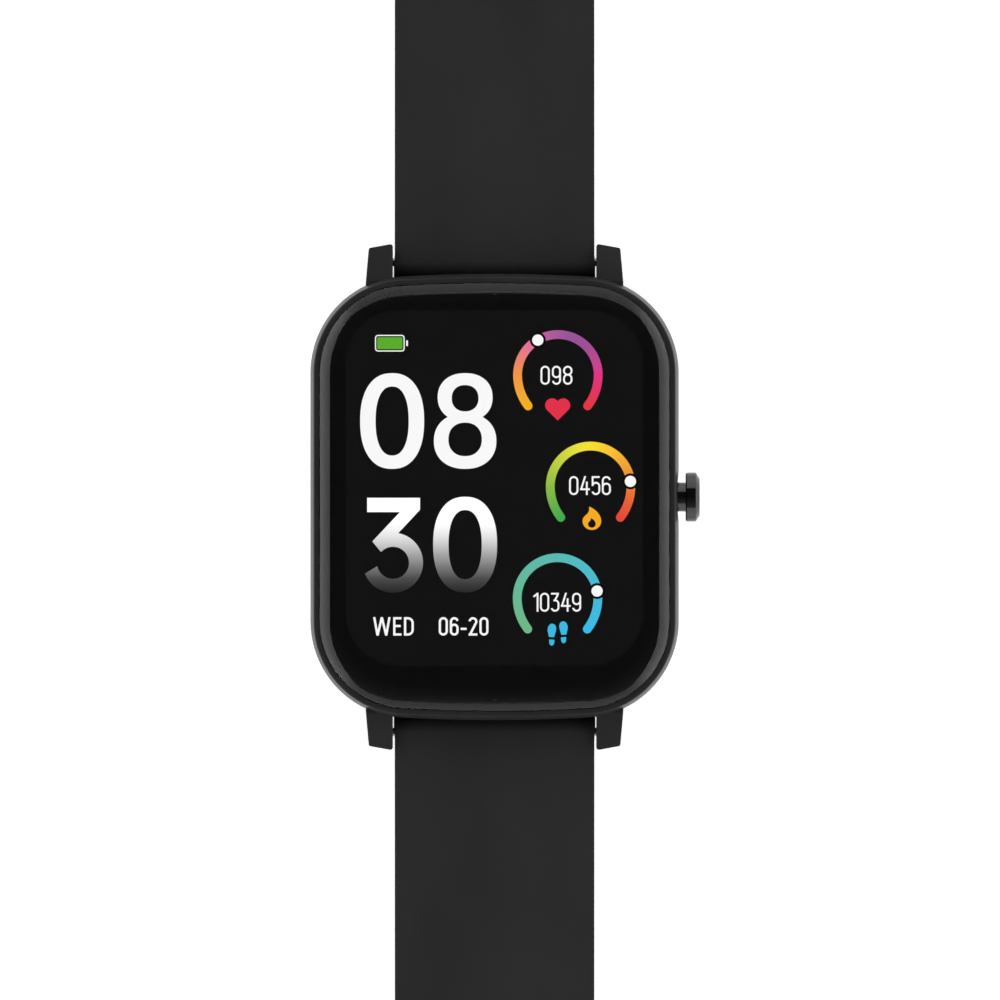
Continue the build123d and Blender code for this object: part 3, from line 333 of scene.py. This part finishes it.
soften("strap_short", "strap_short_body", "strap", 0.32)
soften("strap_long", "strap_long_body", "strap", 0.32)
soften("fixed_keeper", "strap_short_body", "strap", 0.25)
soften("free_keeper", "keeper_body", "strap", 0.25)
soften("buckle_frame", "buckle_body", "buckle", 0.22)
soften("buckle_tongue", "tongue_body", "buckle", 0.18)


def split_mesh(name, source, side):
    """Half of a closed mesh, capped at x = 0. Side is -1 for the left half and 1 for the right."""
    shape = bmesh.new()
    shape.from_mesh(source)
    bmesh.ops.remove_doubles(shape, verts=shape.verts, dist=1e-7)
    everything = shape.verts[:] + shape.edges[:] + shape.faces[:]
    cut = bmesh.ops.bisect_plane(
        shape, geom=everything, plane_co=(0, 0, 0), plane_no=(-side, 0, 0), clear_outer=True
    )
    rim = [g for g in cut["geom_cut"] if isinstance(g, bmesh.types.BMEdge)]
    bmesh.ops.holes_fill(shape, edges=rim)
    half = bpy.data.meshes.new(name)
    shape.to_mesh(half)
    shape.free()
    return half


def add_spring(name, mesh, body, node_name):
    """Coil in spring steel on its own mesh copy, standing in for the hidden CAD node."""
    piece = add_piece(name, mesh, slot_materials["spring_steel"], body)
    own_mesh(piece)
    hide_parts(node_name)


crown_coil = frame["nodes"]["crown_spring"].data.copy()
crown_coil.materials.clear()
add_spring("crown_spring_look", crown_coil, "case_body",
           "crown_spring")
for half in ("short", "long"):
    coil = f"bar_spring_{half}"
    for end, side in (("left", -1), ("right", 1)):
        name = f"{coil}_{end}"
        add_spring(name, split_mesh(name, frame["nodes"][coil].data, side), f"strap_{half}_body",
                   coil)


# ---------------------------------------------------------------- flat shapes of the display
ARC_STEP = 6.0


def arc(centre, radius, start, end):
    """Points on an arc between two angles in degrees."""
    count = max(2, math.ceil(abs(end - start) / ARC_STEP))
    angles = [math.radians(start + (end - start) * i / count) for i in range(count + 1)]
    return [(centre[0] + radius * math.cos(a), centre[1] + radius * math.sin(a)) for a in angles]


def circle(centre, radius):
    return arc(centre, radius, 0, 360 - ARC_STEP)


def bezier(start, first, second, end, count=10):
    """Points on a cubic curve, without its last one."""
    points = []
    for i in range(count):
        t = i / count
        shares = ((1 - t) ** 3, 3 * t * (1 - t) ** 2, 3 * t**2 * (1 - t), t**3)
        corners = (start, first, second, end)
        points.append(tuple(sum(s * c[k] for s, c in zip(shares, corners)) for k in (0, 1)))
    return points


def superellipse(centre, half_w, half_h, power=2.3, count=72):
    points = []
    for i in range(count):
        turn = 2 * math.pi * i / count
        c, s = math.cos(turn), math.sin(turn)
        x = math.copysign(abs(c) ** (2 / power), c) * half_w
        y = math.copysign(abs(s) ** (2 / power), s) * half_h
        points.append((centre[0] + x, centre[1] + y))
    return points


def rounded_box(centre, half_w, half_h, radius):
    x, y = centre
    corners = [(1, 1, 0), (-1, 1, 90), (-1, -1, 180), (1, -1, 270)]
    points = []
    for sx, sy, start in corners:
        points += arc((x + sx * (half_w - radius), y + sy * (half_h - radius)), radius, start, start + 90)
    return points


def side_offsets(points, width, closed):
    """Points half a width to the left and right of a line, mitred at its corners."""
    left, right = [], []
    last = len(points) - 1
    for i, point in enumerate(points):
        before = points[i - 1] if i > 0 or closed else None
        after = points[(i + 1) % len(points)] if i < last or closed else None
        steps = []
        if before is not None:
            steps.append((Vector(point) - Vector(before)).normalized())
        if after is not None:
            steps.append((Vector(after) - Vector(point)).normalized())
        along = (steps[0] + steps[-1]).normalized()
        reach = width / 2 / max(along.dot(steps[0]), 0.65)
        across = Vector((-along.y, along.x)) * reach
        left.append(tuple(Vector(point) + across))
        right.append(tuple(Vector(point) - across))
    return left, right


def ribbon(points, width):
    """Outline of an open stroke with square ends."""
    left, right = side_offsets(points, width, False)
    return left + right[::-1]


def flatten(outlines, holes):
    """Triangles that cover the union of the outlines without the holes."""
    points, faces = [], []
    for loop in outlines + holes:
        area = sum(a[0] * b[1] - a[1] * b[0] for a, b in zip(loop, loop[1:] + loop[:1]))
        ordered = loop if area > 0 else loop[::-1]
        faces.append(list(range(len(points), len(points) + len(ordered))))
        points += [Vector(p) for p in ordered]
    corners, _, triangles, _, _, origins = delaunay_2d_cdt(points, [], faces, 1, 1e-5)
    kept = [t for t, o in zip(triangles, origins) if o and max(o) < len(outlines)]
    return corners, kept


def add_plate(name, outlines, holes, bottom, height, material):
    """Thin closed piece with that outline, riding on the case."""
    corners, triangles = flatten(outlines, holes)
    shape = bmesh.new()
    verts = [shape.verts.new((c[0] * MM, c[1] * MM, bottom * MM)) for c in corners]
    for triangle in triangles:
        shape.faces.new([verts[i] for i in triangle])
    loose = [v for v in shape.verts if not v.link_faces]
    bmesh.ops.delete(shape, geom=loose, context="VERTS")
    grown = bmesh.ops.extrude_face_region(shape, geom=shape.faces[:])
    top = [g for g in grown["geom"] if isinstance(g, bmesh.types.BMVert)]
    bmesh.ops.translate(shape, verts=top, vec=(0, 0, height * MM))
    bmesh.ops.recalc_face_normals(shape, faces=shape.faces)
    mesh = bpy.data.meshes.new(name)
    shape.to_mesh(mesh)
    shape.free()
    return add_piece(name, mesh, material, "case_body")


def light_up(name, colour=None, strength=1.0):
    """Lit pixels: an emitting material. The colour is one shade, or a function that builds its node."""
    tree, shader, material = new_material(name)
    place = object_place(tree)
    if callable(colour):
        lit = colour(tree, place)
    else:
        shade = linear(colour)
        flicker = noise(tree, place, 3.0, 1.0)
        lit = colour_ramp(tree, flicker, [(0.3, tuple(c * 0.98 for c in shade)), (0.7, shade)])
    set_inputs(shader, tree, {
        "Base Color": (0, 0, 0, 1), "Roughness": 0.6, "Specular IOR Level": 0.0,
        "Emission Color": lit, "Emission Strength": strength,
    })
    return material


# heights of the flat pieces under the cover glass
display_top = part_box("display_module")[1].z / MM
glass_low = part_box("cover_glass")[0].z / MM
UI_BOTTOM = display_top + 0.008
UI_HEIGHT = 0.012
LAYER_STEP = 0.016
HALO_BOTTOM = UI_BOTTOM + LAYER_STEP
DOT_BOTTOM = HALO_BOTTOM + LAYER_STEP
INK_BOTTOM = glass_low - 0.018
INK_HEIGHT = 0.01

# ---------------------------------------------------------------- black frame printed on the glass
WINDOW_CENTRE = (-0.03, 0.9)
WINDOW_HALF = (14.85, 17.77)
WINDOW_R = 5.3
GLASS_INSET = 0.97
OUTLINE_END_R = 165.0
OUTLINE_CORNER_R = 9.65
INK_INSET = 1.93


def case_outline(inset):
    """The case's outline moved inwards: straight sides, crowned ends and round corners."""
    glass_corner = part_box("cover_glass")[1] / MM
    half_w, half_l = glass_corner.x + GLASS_INSET - inset, glass_corner.y + GLASS_INSET - inset
    corner_r, end_r = OUTLINE_CORNER_R - inset, OUTLINE_END_R - inset
    corner_x = half_w - corner_r
    tilt = math.degrees(math.asin(corner_x / (end_r - corner_r)))
    corner_y = half_l - end_r + (end_r - corner_r) * math.cos(math.radians(tilt))
    quarter = arc((corner_x, corner_y), corner_r, 0, 90 - tilt)
    half = quarter + [(-x, y) for x, y in reversed(quarter)]
    return half + [(-x, -y) for x, y in half]


ink = surface("frame_ink", (0.002, 0.002, 0.002), 0.5, gloss=0.0, grain=0.3, depth=0.001)
add_plate("glass_ink_frame", [case_outline(INK_INSET)],
          [rounded_box(WINDOW_CENTRE, *WINDOW_HALF, WINDOW_R)], INK_BOTTOM, INK_HEIGHT, ink)


# ---------------------------------------------------------------- condensed letters and digits
class Lettering:
    """Outlines and holes of characters drawn as strokes."""

    # widths of the characters as shares of their height
    WIDTHS = {"0": 0.49, "1": 0.28, "2": 0.475, "3": 0.46, "4": 0.52, "5": 0.46, "6": 0.475,
              "8": 0.495, "9": 0.475, "-": 0.32, "W": 0.96, "E": 0.45, "D": 0.53}

    def __init__(self, height, stroke, gap):
        self.height, self.stroke, self.gap = height, stroke, gap
        self.outlines, self.holes = [], []

    def width_of(self, text):
        return sum(self.WIDTHS[c] for c in text) * self.height + self.gap * (len(text) - 1)

    def write(self, text, left, base):
        for char in text:
            self.draw(char, left, base, self.WIDTHS[char] * self.height)
            left += self.WIDTHS[char] * self.height + self.gap

    def write_centred(self, text, middle, base):
        self.write(text, middle - self.width_of(text) / 2, base)

    def place(self, points):
        x, y, width = self.cell
        if self.turned:
            return [(x + width - px, y + self.height - py) for px, py in points]
        return [(x + px, y + py) for px, py in points]

    def line(self, *points):
        self.outlines.append(self.place(ribbon(list(points), self.stroke)))

    def slant(self, low, high):
        """Slanted stroke between two points, cut level at both ends."""
        run, rise = high[0] - low[0], high[1] - low[1]
        half = self.stroke / 2 * math.hypot(run, rise) / abs(rise)
        corners = [(low[0] - half, low[1]), (low[0] + half, low[1]),
                   (high[0] + half, high[1]), (high[0] - half, high[1])]
        self.outlines.append(self.place(corners))

    def loop(self, points):
        left, right = side_offsets(points, self.stroke, True)
        self.outlines.append(self.place(right))
        self.holes.append(self.place(left))

    def ring(self, low, high):
        """Closed upright ring with half-round ends, its stroke's middle between two heights."""
        middle, radius = self.cell[2] / 2, (self.cell[2] - self.stroke) / 2
        over = arc((middle, high - radius), radius, 0, 180)
        self.loop(over + arc((middle, low + radius), radius, 180, 360))

    def draw(self, char, left, base, width):
        h, t = self.height, self.stroke
        self.cell, self.turned = (left, base, width), char == "9"
        x0, xm, x1 = t / 2, width / 2, width - t / 2
        y0, y1, r = t / 2, h - t / 2, (width - t) / 2
        if char == "0":
            self.ring(y0, y1)
        elif char == "1":
            self.line((x1, 0), (x1, h))
            self.line((0.02 * h, 0.79 * h), (x1, h - 0.4 * t))
        elif char == "2":
            self.line(*arc((xm, y1 - r), r, 175, -32), (x0 + 0.02 * h, y0))
            self.line((0, y0), (width, y0))
        elif char == "3":
            self.line((0.02 * h, y1), (width - 0.03 * h, y1))
            self.slant((0.2 * h, 0.56 * h), (width - 0.03 * h - t / 2, h - t))
            self.line(*arc((xm, 0.6 * h - r), r, 115, 0), *arc((xm, y0 + r), r, 0, -165))
        elif char == "4":
            self.slant((x0 + 0.01 * h, 0.3 * h), (0.275 * h, h))
            self.line((0, 0.305 * h), (width, 0.305 * h))
            self.line((width - 0.16 * h, 0), (width - 0.16 * h, 0.71 * h))
        elif char == "5":
            self.line((0.01 * h, y1), (width - 0.03 * h, y1))
            self.line((x0 + 0.01 * h, h), (x0 + 0.01 * h, 0.48 * h))
            self.line(*arc((xm, 0.65 * h - r), r, 150, 0), *arc((xm, y0 + r), r, 0, -165))
        elif char in "69":
            self.ring(y0, 0.65 * h - t / 2)
            self.line((x0, y0 + r), *arc((xm, y1 - r), r, 180, 12))
        elif char == "8":
            self.ring(y0, 0.53 * h)
            self.ring(0.53 * h, y1)
        elif char == "-":
            self.line((0, 0.365 * h), (width, 0.365 * h))
        elif char == "W":
            foot, peak = 0.255 * width, 0.5 * width
            ends = ((foot, 0.55 * t), (foot, peak), (width - foot, peak), (width - foot, width - 0.55 * t))
            for low, high in ends:
                self.slant((low, 0), (high, h))
        elif char == "E":
            self.line((x0, 0), (x0, h))
            for level, reach in ((y0, width), (0.52 * h, 0.9 * width), (y1, width)):
                self.line((0, level), (reach, level))
        elif char == "D":
            bend = 0.26 * h
            self.loop([(x0, y0)] + arc((x1 - bend, y0 + bend), bend, -90, 0)
                      + arc((x1 - bend, y1 - bend), bend, 0, 90) + [(x0, y1)])


# ---------------------------------------------------------------- clock digits
DIGIT_H = 9.56
DIGIT_W = 6.39
HOLE_W = 3.31
HOLE_H = 6.9
COLUMNS = (-10.23, -2.94)
HOURS_Y = 7.59
MINUTES_Y = -4.755
white = light_up("lit_white", 0xFFFFFF)


def big_zero(centre):
    return superellipse(centre, DIGIT_W / 2, DIGIT_H / 2), superellipse(centre, HOLE_W / 2, HOLE_H / 2)


def big_eight(centre):
    """Two bowls, the lower one wider, with a hole in each."""
    x, y = centre
    outlines = [superellipse((x, y + 2.37), 2.74, 2.41, 2.2), superellipse((x, y - 2.0), 3.12, 2.78, 2.2)]
    holes = [superellipse((x, y + 2.275), 1.34, 1.315, 2.2), superellipse((x, y - 1.835), 1.67, 1.675, 2.2)]
    return outlines, holes


def big_three(centre):
    """Flat-topped three: a bar, a diagonal and an open bowl."""
    x, y = centre
    bowl = (-0.06, -1.815)
    outline = [(-2.64, 4.675), (2.64, 4.675), (2.64, 3.475)]
    outline += arc(bowl, 3.0, 80, -159)
    outline += arc(bowl, 1.6, -168, 138)
    outline += [(-2.12, 0.315), (0.63, 3.245), (-2.64, 3.245)]
    return [(x + px, y + py) for px, py in outline]


zero, zero_hole = big_zero((COLUMNS[0], HOURS_Y))
eight, eight_holes = big_eight((COLUMNS[1], HOURS_Y))
add_plate("screen_hours", [zero] + eight, [zero_hole] + eight_holes, UI_BOTTOM, UI_HEIGHT, white)

zero, zero_hole = big_zero((COLUMNS[1], MINUTES_Y))
FADE = [(0.0, 0x242424), (0.075, 0x363636), (0.15, 0x4A4A4A), (0.27, 0x767676), (0.395, 0xA0A0A0),
        (0.52, 0xCBCBCB), (0.58, 0xDEDEDE), (0.65, 0xEEEEEE), (0.75, 0xFFFFFF)]


def fading_white(tree, place):
    height = add_node(tree, "SeparateXYZ", {0: place}).outputs["Y"]
    low = (MINUTES_Y - DIGIT_H / 2) * MM
    share = rescale(tree, height, (low, low + DIGIT_H * MM), (0.0, 1.0))
    return colour_ramp(tree, share, [(position, linear(code)) for position, code in FADE])


minutes = big_three((COLUMNS[0] + 0.145, MINUTES_Y))
add_plate("screen_minutes", [minutes, zero], [zero_hole], UI_BOTTOM, UI_HEIGHT,
          light_up("lit_fading_white", fading_white, 1.12))

date = Lettering(height=1.84, stroke=0.22, gap=0.25)
date.write("WED", -12.14, -13.84)
date.gap = 0.205
date.write("06-20", -5.57, -13.84)
add_plate("screen_date", date.outlines, date.holes, UI_BOTTOM, UI_HEIGHT, white)

# ---------------------------------------------------------------- battery symbol
BATTERY_CENTRE = (-10.46, 15.36)
x, y = BATTERY_CENTRE
terminal = rounded_box((x + 1.72, y), 0.09, 0.29, 0.08)
add_plate("screen_battery_outline", [rounded_box(BATTERY_CENTRE, 1.48, 0.83, 0.3), terminal],
          [rounded_box(BATTERY_CENTRE, 1.37, 0.72, 0.2)], UI_BOTTOM, UI_HEIGHT, white)
add_plate("screen_battery_level", [rounded_box(BATTERY_CENTRE, 1.26, 0.6, 0.13)], [], UI_BOTTOM, UI_HEIGHT,
          light_up("lit_green", 0x5CB02E))

# ---------------------------------------------------------------- gauges
GAUGE_R = 4.03
GAUGE_W = 0.87
GAUGE_LOW_R = 5.08
GAUGE_END = 37.6
DOT_R = 0.56
HALO_R = 0.8


def gauge_line():
    """Middle of a gauge from its lower left end over the top to its lower right end."""
    shift = GAUGE_LOW_R - GAUGE_R
    rise = arc((shift, 0), GAUGE_LOW_R, 180 + GAUGE_END, 180)
    fall = arc((-shift, 0), GAUGE_LOW_R, 0, -GAUGE_END)
    return rise[:-1] + arc((0, 0), GAUGE_R, 180, 0) + fall[1:]


def gauge_outline(centre):
    line = gauge_line()
    ends = [circle(line[0], GAUGE_W / 2), circle(line[-1], GAUGE_W / 2)]
    return [[(centre[0] + x, centre[1] + y) for x, y in loop] for loop in [ribbon(line, GAUGE_W)] + ends]


def around(centre, shades):
    """Colours by the angle around a centre. Shades are (degrees from the right, colour)."""

    def build(tree, place):
        middle = (centre[0] * MM, centre[1] * MM, 0)
        inputs = {"Vector": place, "Location": middle, "Rotation": (0, 0, math.radians(90))}
        turned = add_node(tree, "Mapping", inputs, vector_type="TEXTURE").outputs[0]
        share = add_node(tree, "TexGradient", {0: turned}, gradient_type="RADIAL").outputs["Fac"]
        stops = [((angle + 90) / 360, linear(code)) for angle, code in shades]
        return colour_ramp(tree, share, stops)

    return build


HEART_SHADES = [(-46, 0xE63A3E), (-20, 0xE73569), (0, 0xE83489), (15, 0xC94794), (45, 0xA2509A),
                (75, 0x9A569D), (105, 0xB65FA0), (135, 0xEA749C), (150, 0xEF807F), (165, 0xF38D60), (180, 0xF69A48),
                (226, 0xF9B41D)]
ENERGY_SHADES = [(-46, 0xE94A36), (-20, 0xED6537), (20, 0xF39A35), (45, 0xF9B434), (60, 0xFFC733),
                 (90, 0xFDE42E), (105, 0xF3E73E), (135, 0xCDD840), (180, 0x8EC048), (210, 0x63B34C),
                 (226, 0x48AE50)]
STEPS_SHADES = [(-46, 0x3ABEEC), (-20, 0x41BEE6), (30, 0x4CBED5), (60, 0x55BFC8), (90, 0x5BBDBA),
                (135, 0x63BDA5), (180, 0x6ABD97), (226, 0x70BC87)]

# name, centre, angle of the dot, shades, number, its base middle from the centre, gap of its digits
GAUGES = [
    ("heart", (6.325, 12.2), 120, HEART_SHADES, "098", (-0.14, -0.98), 0.22),
    ("energy", (9.59, 1.06), 7.2, ENERGY_SHADES, "0456", (-0.06, -0.86), 0.17),
    ("steps", (6.29, -10.09), 10.0, STEPS_SHADES, "10349", (-0.04, -1.36), 0.15),
]
numbers, number_holes, halos, dots = [], [], [], []
for name, centre, dot_angle, shades, text, offset, gap in GAUGES:
    add_plate(f"screen_gauge_{name}", gauge_outline(centre), [], UI_BOTTOM, UI_HEIGHT,
              light_up(f"lit_gauge_{name}", around(centre, shades)))
    spot = arc(centre, GAUGE_R - 0.02, dot_angle, dot_angle + 1)[0]
    halos.append(circle(spot, HALO_R))
    dots.append(circle(spot, DOT_R))
    count = Lettering(height=1.88, stroke=0.175, gap=gap)
    count.write_centred(text, centre[0] + offset[0], centre[1] + offset[1])
    numbers += count.outlines
    number_holes += count.holes
add_plate("screen_gauge_numbers", numbers, number_holes, UI_BOTTOM, UI_HEIGHT, white)
add_plate("screen_gauge_halos", halos, [], HALO_BOTTOM, UI_HEIGHT, light_up("lit_off", 0x050505, 0.5))
add_plate("screen_gauge_dots", dots, [], DOT_BOTTOM, UI_HEIGHT, white)

# ---------------------------------------------------------------- gauge symbols
HEART_LOBE_R = 0.69
HEART_LOBE = (0.56, 0.4)
HEART_TIP = (0.0, -1.12)


def heart(centre):
    """Two round lobes and straight sides that meet in a tip."""
    reach = Vector((HEART_LOBE[0] - HEART_TIP[0], HEART_LOBE[1] - HEART_TIP[1]))
    swing = math.asin(HEART_LOBE_R / reach.length)
    side = math.atan2(reach.y, reach.x) - swing
    touch = math.sqrt(reach.length**2 - HEART_LOBE_R**2)
    edge = (HEART_TIP[0] + touch * math.cos(side), HEART_TIP[1] + touch * math.sin(side))
    body = [HEART_TIP, edge, HEART_LOBE, (-HEART_LOBE[0], HEART_LOBE[1]), (-edge[0], edge[1])]
    loops = [body, circle(HEART_LOBE, HEART_LOBE_R), circle((-HEART_LOBE[0], HEART_LOBE[1]), HEART_LOBE_R)]
    return [[(centre[0] + x, centre[1] + y) for x, y in loop] for loop in loops]


def flame(foot, scale):
    """Flame that stands on the point foot, leaning to the left at its tip."""
    tip, right, low, left, neck = (-0.31, 2.4), (0.95, 0.91), (0.0, 0.0), (-0.97, 0.93), (-0.44, 1.71)
    outline = bezier(tip, (0.2, 2.26), (0.95, 1.66), right)
    outline += bezier(right, (0.95, 0.39), (0.52, 0.0), low)
    outline += bezier(low, (-0.52, 0.0), (-0.97, 0.38), left)
    outline += bezier(left, (-0.97, 1.36), (-0.64, 1.49), neck)
    outline += bezier(neck, (-0.3, 1.89), (-0.26, 2.07), tip)
    return [(foot[0] + scale * x, foot[1] + scale * y) for x, y in outline]


def footprint(heel_top, side, scale=0.95):
    """Sole and heel of a foot. Side is 1 for the right foot and -1 for the left one."""
    sole = bezier((-0.23, 0.27), (-0.28, 0.7), (-0.45, 0.85), (-0.43, 1.2))
    sole += bezier((-0.43, 1.2), (-0.42, 1.55), (-0.2, 1.69), (0.0, 1.69))
    sole += bezier((0.0, 1.69), (0.3, 1.69), (0.48, 1.3), (0.46, 1.0))
    sole += bezier((0.46, 1.0), (0.45, 0.75), (0.36, 0.6), (0.34, 0.3)) + [(0.34, 0.3)]
    heel = [(-0.25, 0.0)] + bezier((-0.25, -0.2), (-0.22, -0.75), (0.3, -0.75), (0.3, -0.2)) + [(0.3, 0.04)]
    x, y = heel_top
    return [[(x + scale * side * px, y + scale * py) for px, py in loop] for loop in (sole, heel)]


add_plate("screen_heart", heart((6.305, 8.76)), [], UI_BOTTOM, UI_HEIGHT, light_up("lit_red", 0xE8324C))
add_plate("screen_flame", [flame((9.73, -3.29), 0.97)], [flame((9.72, -3.06), 0.4)], UI_BOTTOM, UI_HEIGHT,
          light_up("lit_orange", 0xFBB020))
add_plate("screen_footprints", footprint((6.87, -14.02), 1) + footprint((5.74, -14.26), -1), [], UI_BOTTOM,
          UI_HEIGHT, light_up("lit_blue", 0x3CBEE8))

# ---------------------------------------------------------------- studio: light, floor and camera
CEILING_GLOW = 0.05
CEILING_SOUTH_GLOW = 0.3
WALL_X = (1.65, 3.6)
WALL_Y = (1.08, 1.42)
# the dark ceiling ends where the direction's tangent from straight up reaches these
CEILING_X = 0.9
CEILING_NORTH = 0.92
CEILING_SOUTH = 1.3
EDGE_BLUR = 0.04
# direction's height where a wall is at its lower and at its upper brightness
WALL_RISE = (0.72, 0.1)
# share of sideways direction over which the end walls turn into the side walls
WALL_TURN = (0.3, 0.7)
LEAST_RISE = 0.02
LEAST_FLAT = 0.001


def beyond(tree, value, edge, blur, target):
    """Share that goes from one end of target to the other as the value passes an edge."""
    return rescale(tree, value, (edge - blur, edge + blur), target)


def build_world():
    """A bright room with a dark ceiling: softbox walls left and right, dimmer ones at both ends."""
    world = bpy.data.worlds.new("studio")
    bpy.context.scene.world = world
    world.use_nodes = True
    tree = world.node_tree
    way = add_node(tree, "SeparateXYZ", {0: add_node(tree, "TexCoord").outputs["Generated"]})
    x, y, z = way.outputs[0], way.outputs[1], way.outputs[2]
    rise = calculate(tree, "MAXIMUM", z, LEAST_RISE)
    sideways = calculate(tree, "DIVIDE", calculate(tree, "ABSOLUTE", x), rise)
    north = calculate(tree, "DIVIDE", y, rise)
    past_x = beyond(tree, sideways, CEILING_X, EDGE_BLUR, (0.0, 1.0))
    past_north = beyond(tree, north, CEILING_NORTH, 2 * EDGE_BLUR, (0.0, 1.0))
    past_south = beyond(tree, north, -CEILING_SOUTH, 3 * EDGE_BLUR, (1.0, 0.0))
    on_wall = calculate(tree, "MAXIMUM", past_x, calculate(tree, "MAXIMUM", past_north, past_south))
    wall_x = rescale(tree, z, WALL_RISE, WALL_X)
    wall_y = rescale(tree, z, WALL_RISE, WALL_Y)
    x_squared = calculate(tree, "MULTIPLY", x, x)
    flat = calculate(tree, "ADD", x_squared, calculate(tree, "MULTIPLY", y, y))
    share_x = calculate(tree, "DIVIDE", x_squared, calculate(tree, "MAXIMUM", flat, LEAST_FLAT))
    share_x = rescale(tree, share_x, WALL_TURN, (0.0, 1.0), smooth=True)
    mixed = calculate(tree, "MULTIPLY_ADD", share_x, calculate(tree, "SUBTRACT", wall_x, wall_y), wall_y)
    south_glow = rescale(tree, north, (0.0, -CEILING_SOUTH), (CEILING_GLOW, CEILING_SOUTH_GLOW))
    above_ceiling = calculate(tree, "SUBTRACT", mixed, south_glow)
    radiance = calculate(tree, "MULTIPLY_ADD", on_wall, above_ceiling, south_glow)
    background = tree.nodes["Background"]
    background.inputs["Color"].default_value = (1, 1, 1, 1)
    tree.links.new(radiance, background.inputs["Strength"])


FLOOR_GLOW = 0.62
FLOOR_REACH = 15.0
FLOOR_DROP = 0.02


def build_floor():
    floor_mesh = bpy.data.meshes.new("floor")
    level = -FLOOR_DROP * MM
    corners = [(sx * FLOOR_REACH, sy * FLOOR_REACH, level) for sx, sy in ((-1, -1), (1, -1), (1, 1), (-1, 1))]
    floor_mesh.from_pydata(corners, [], [(0, 1, 2, 3)])
    floor = bpy.data.objects.new("floor", floor_mesh)
    bpy.context.scene.collection.objects.link(floor)
    tree, shader, material = new_material("floor")
    paper = noise(tree, object_place(tree), 40.0, 3.0)
    set_inputs(shader, tree, {
        "Base Color": colour_ramp(tree, paper, [(0.3, (0.93, 0.93, 0.93)), (0.7, (0.95, 0.95, 0.95))]),
        "Roughness": 0.9, "Specular IOR Level": 0.1,
        "Emission Color": (1, 1, 1, 1), "Emission Strength": FLOOR_GLOW,
    })
    # the floor's underside lets a view from below through
    below = add_node(tree, "NewGeometry").outputs["Backfacing"]
    clear = add_node(tree, "BsdfTransparent").outputs[0]
    either = add_node(tree, "MixShader", {0: below, 1: shader.outputs[0], 2: clear})
    tree.links.new(either.outputs[0], tree.nodes["Material Output"].inputs["Surface"])
    floor_mesh.materials.append(material)


VIEW_WIDTH = 100.0
VIEW_CENTRE = (0.544, -0.3)
VIEW_HEIGHT = 6.0
LENS = 1000.0
SENSOR = 36.0
CLIP_END = 200.0


def build_camera():
    """Long lens straight above the dial."""
    data = bpy.data.cameras.new("camera")
    data.lens = LENS
    data.sensor_width = SENSOR
    data.clip_end = CLIP_END
    camera = bpy.data.objects.new("camera", data)
    bpy.context.scene.collection.objects.link(camera)
    distance = VIEW_WIDTH * LENS / SENSOR
    camera.location = (VIEW_CENTRE[0] * MM, VIEW_CENTRE[1] * MM, (VIEW_HEIGHT + distance) * MM)
    bpy.context.scene.camera = camera


build_world()
build_floor()
build_camera()
bpy.context.scene.view_settings.view_transform = "Standard"
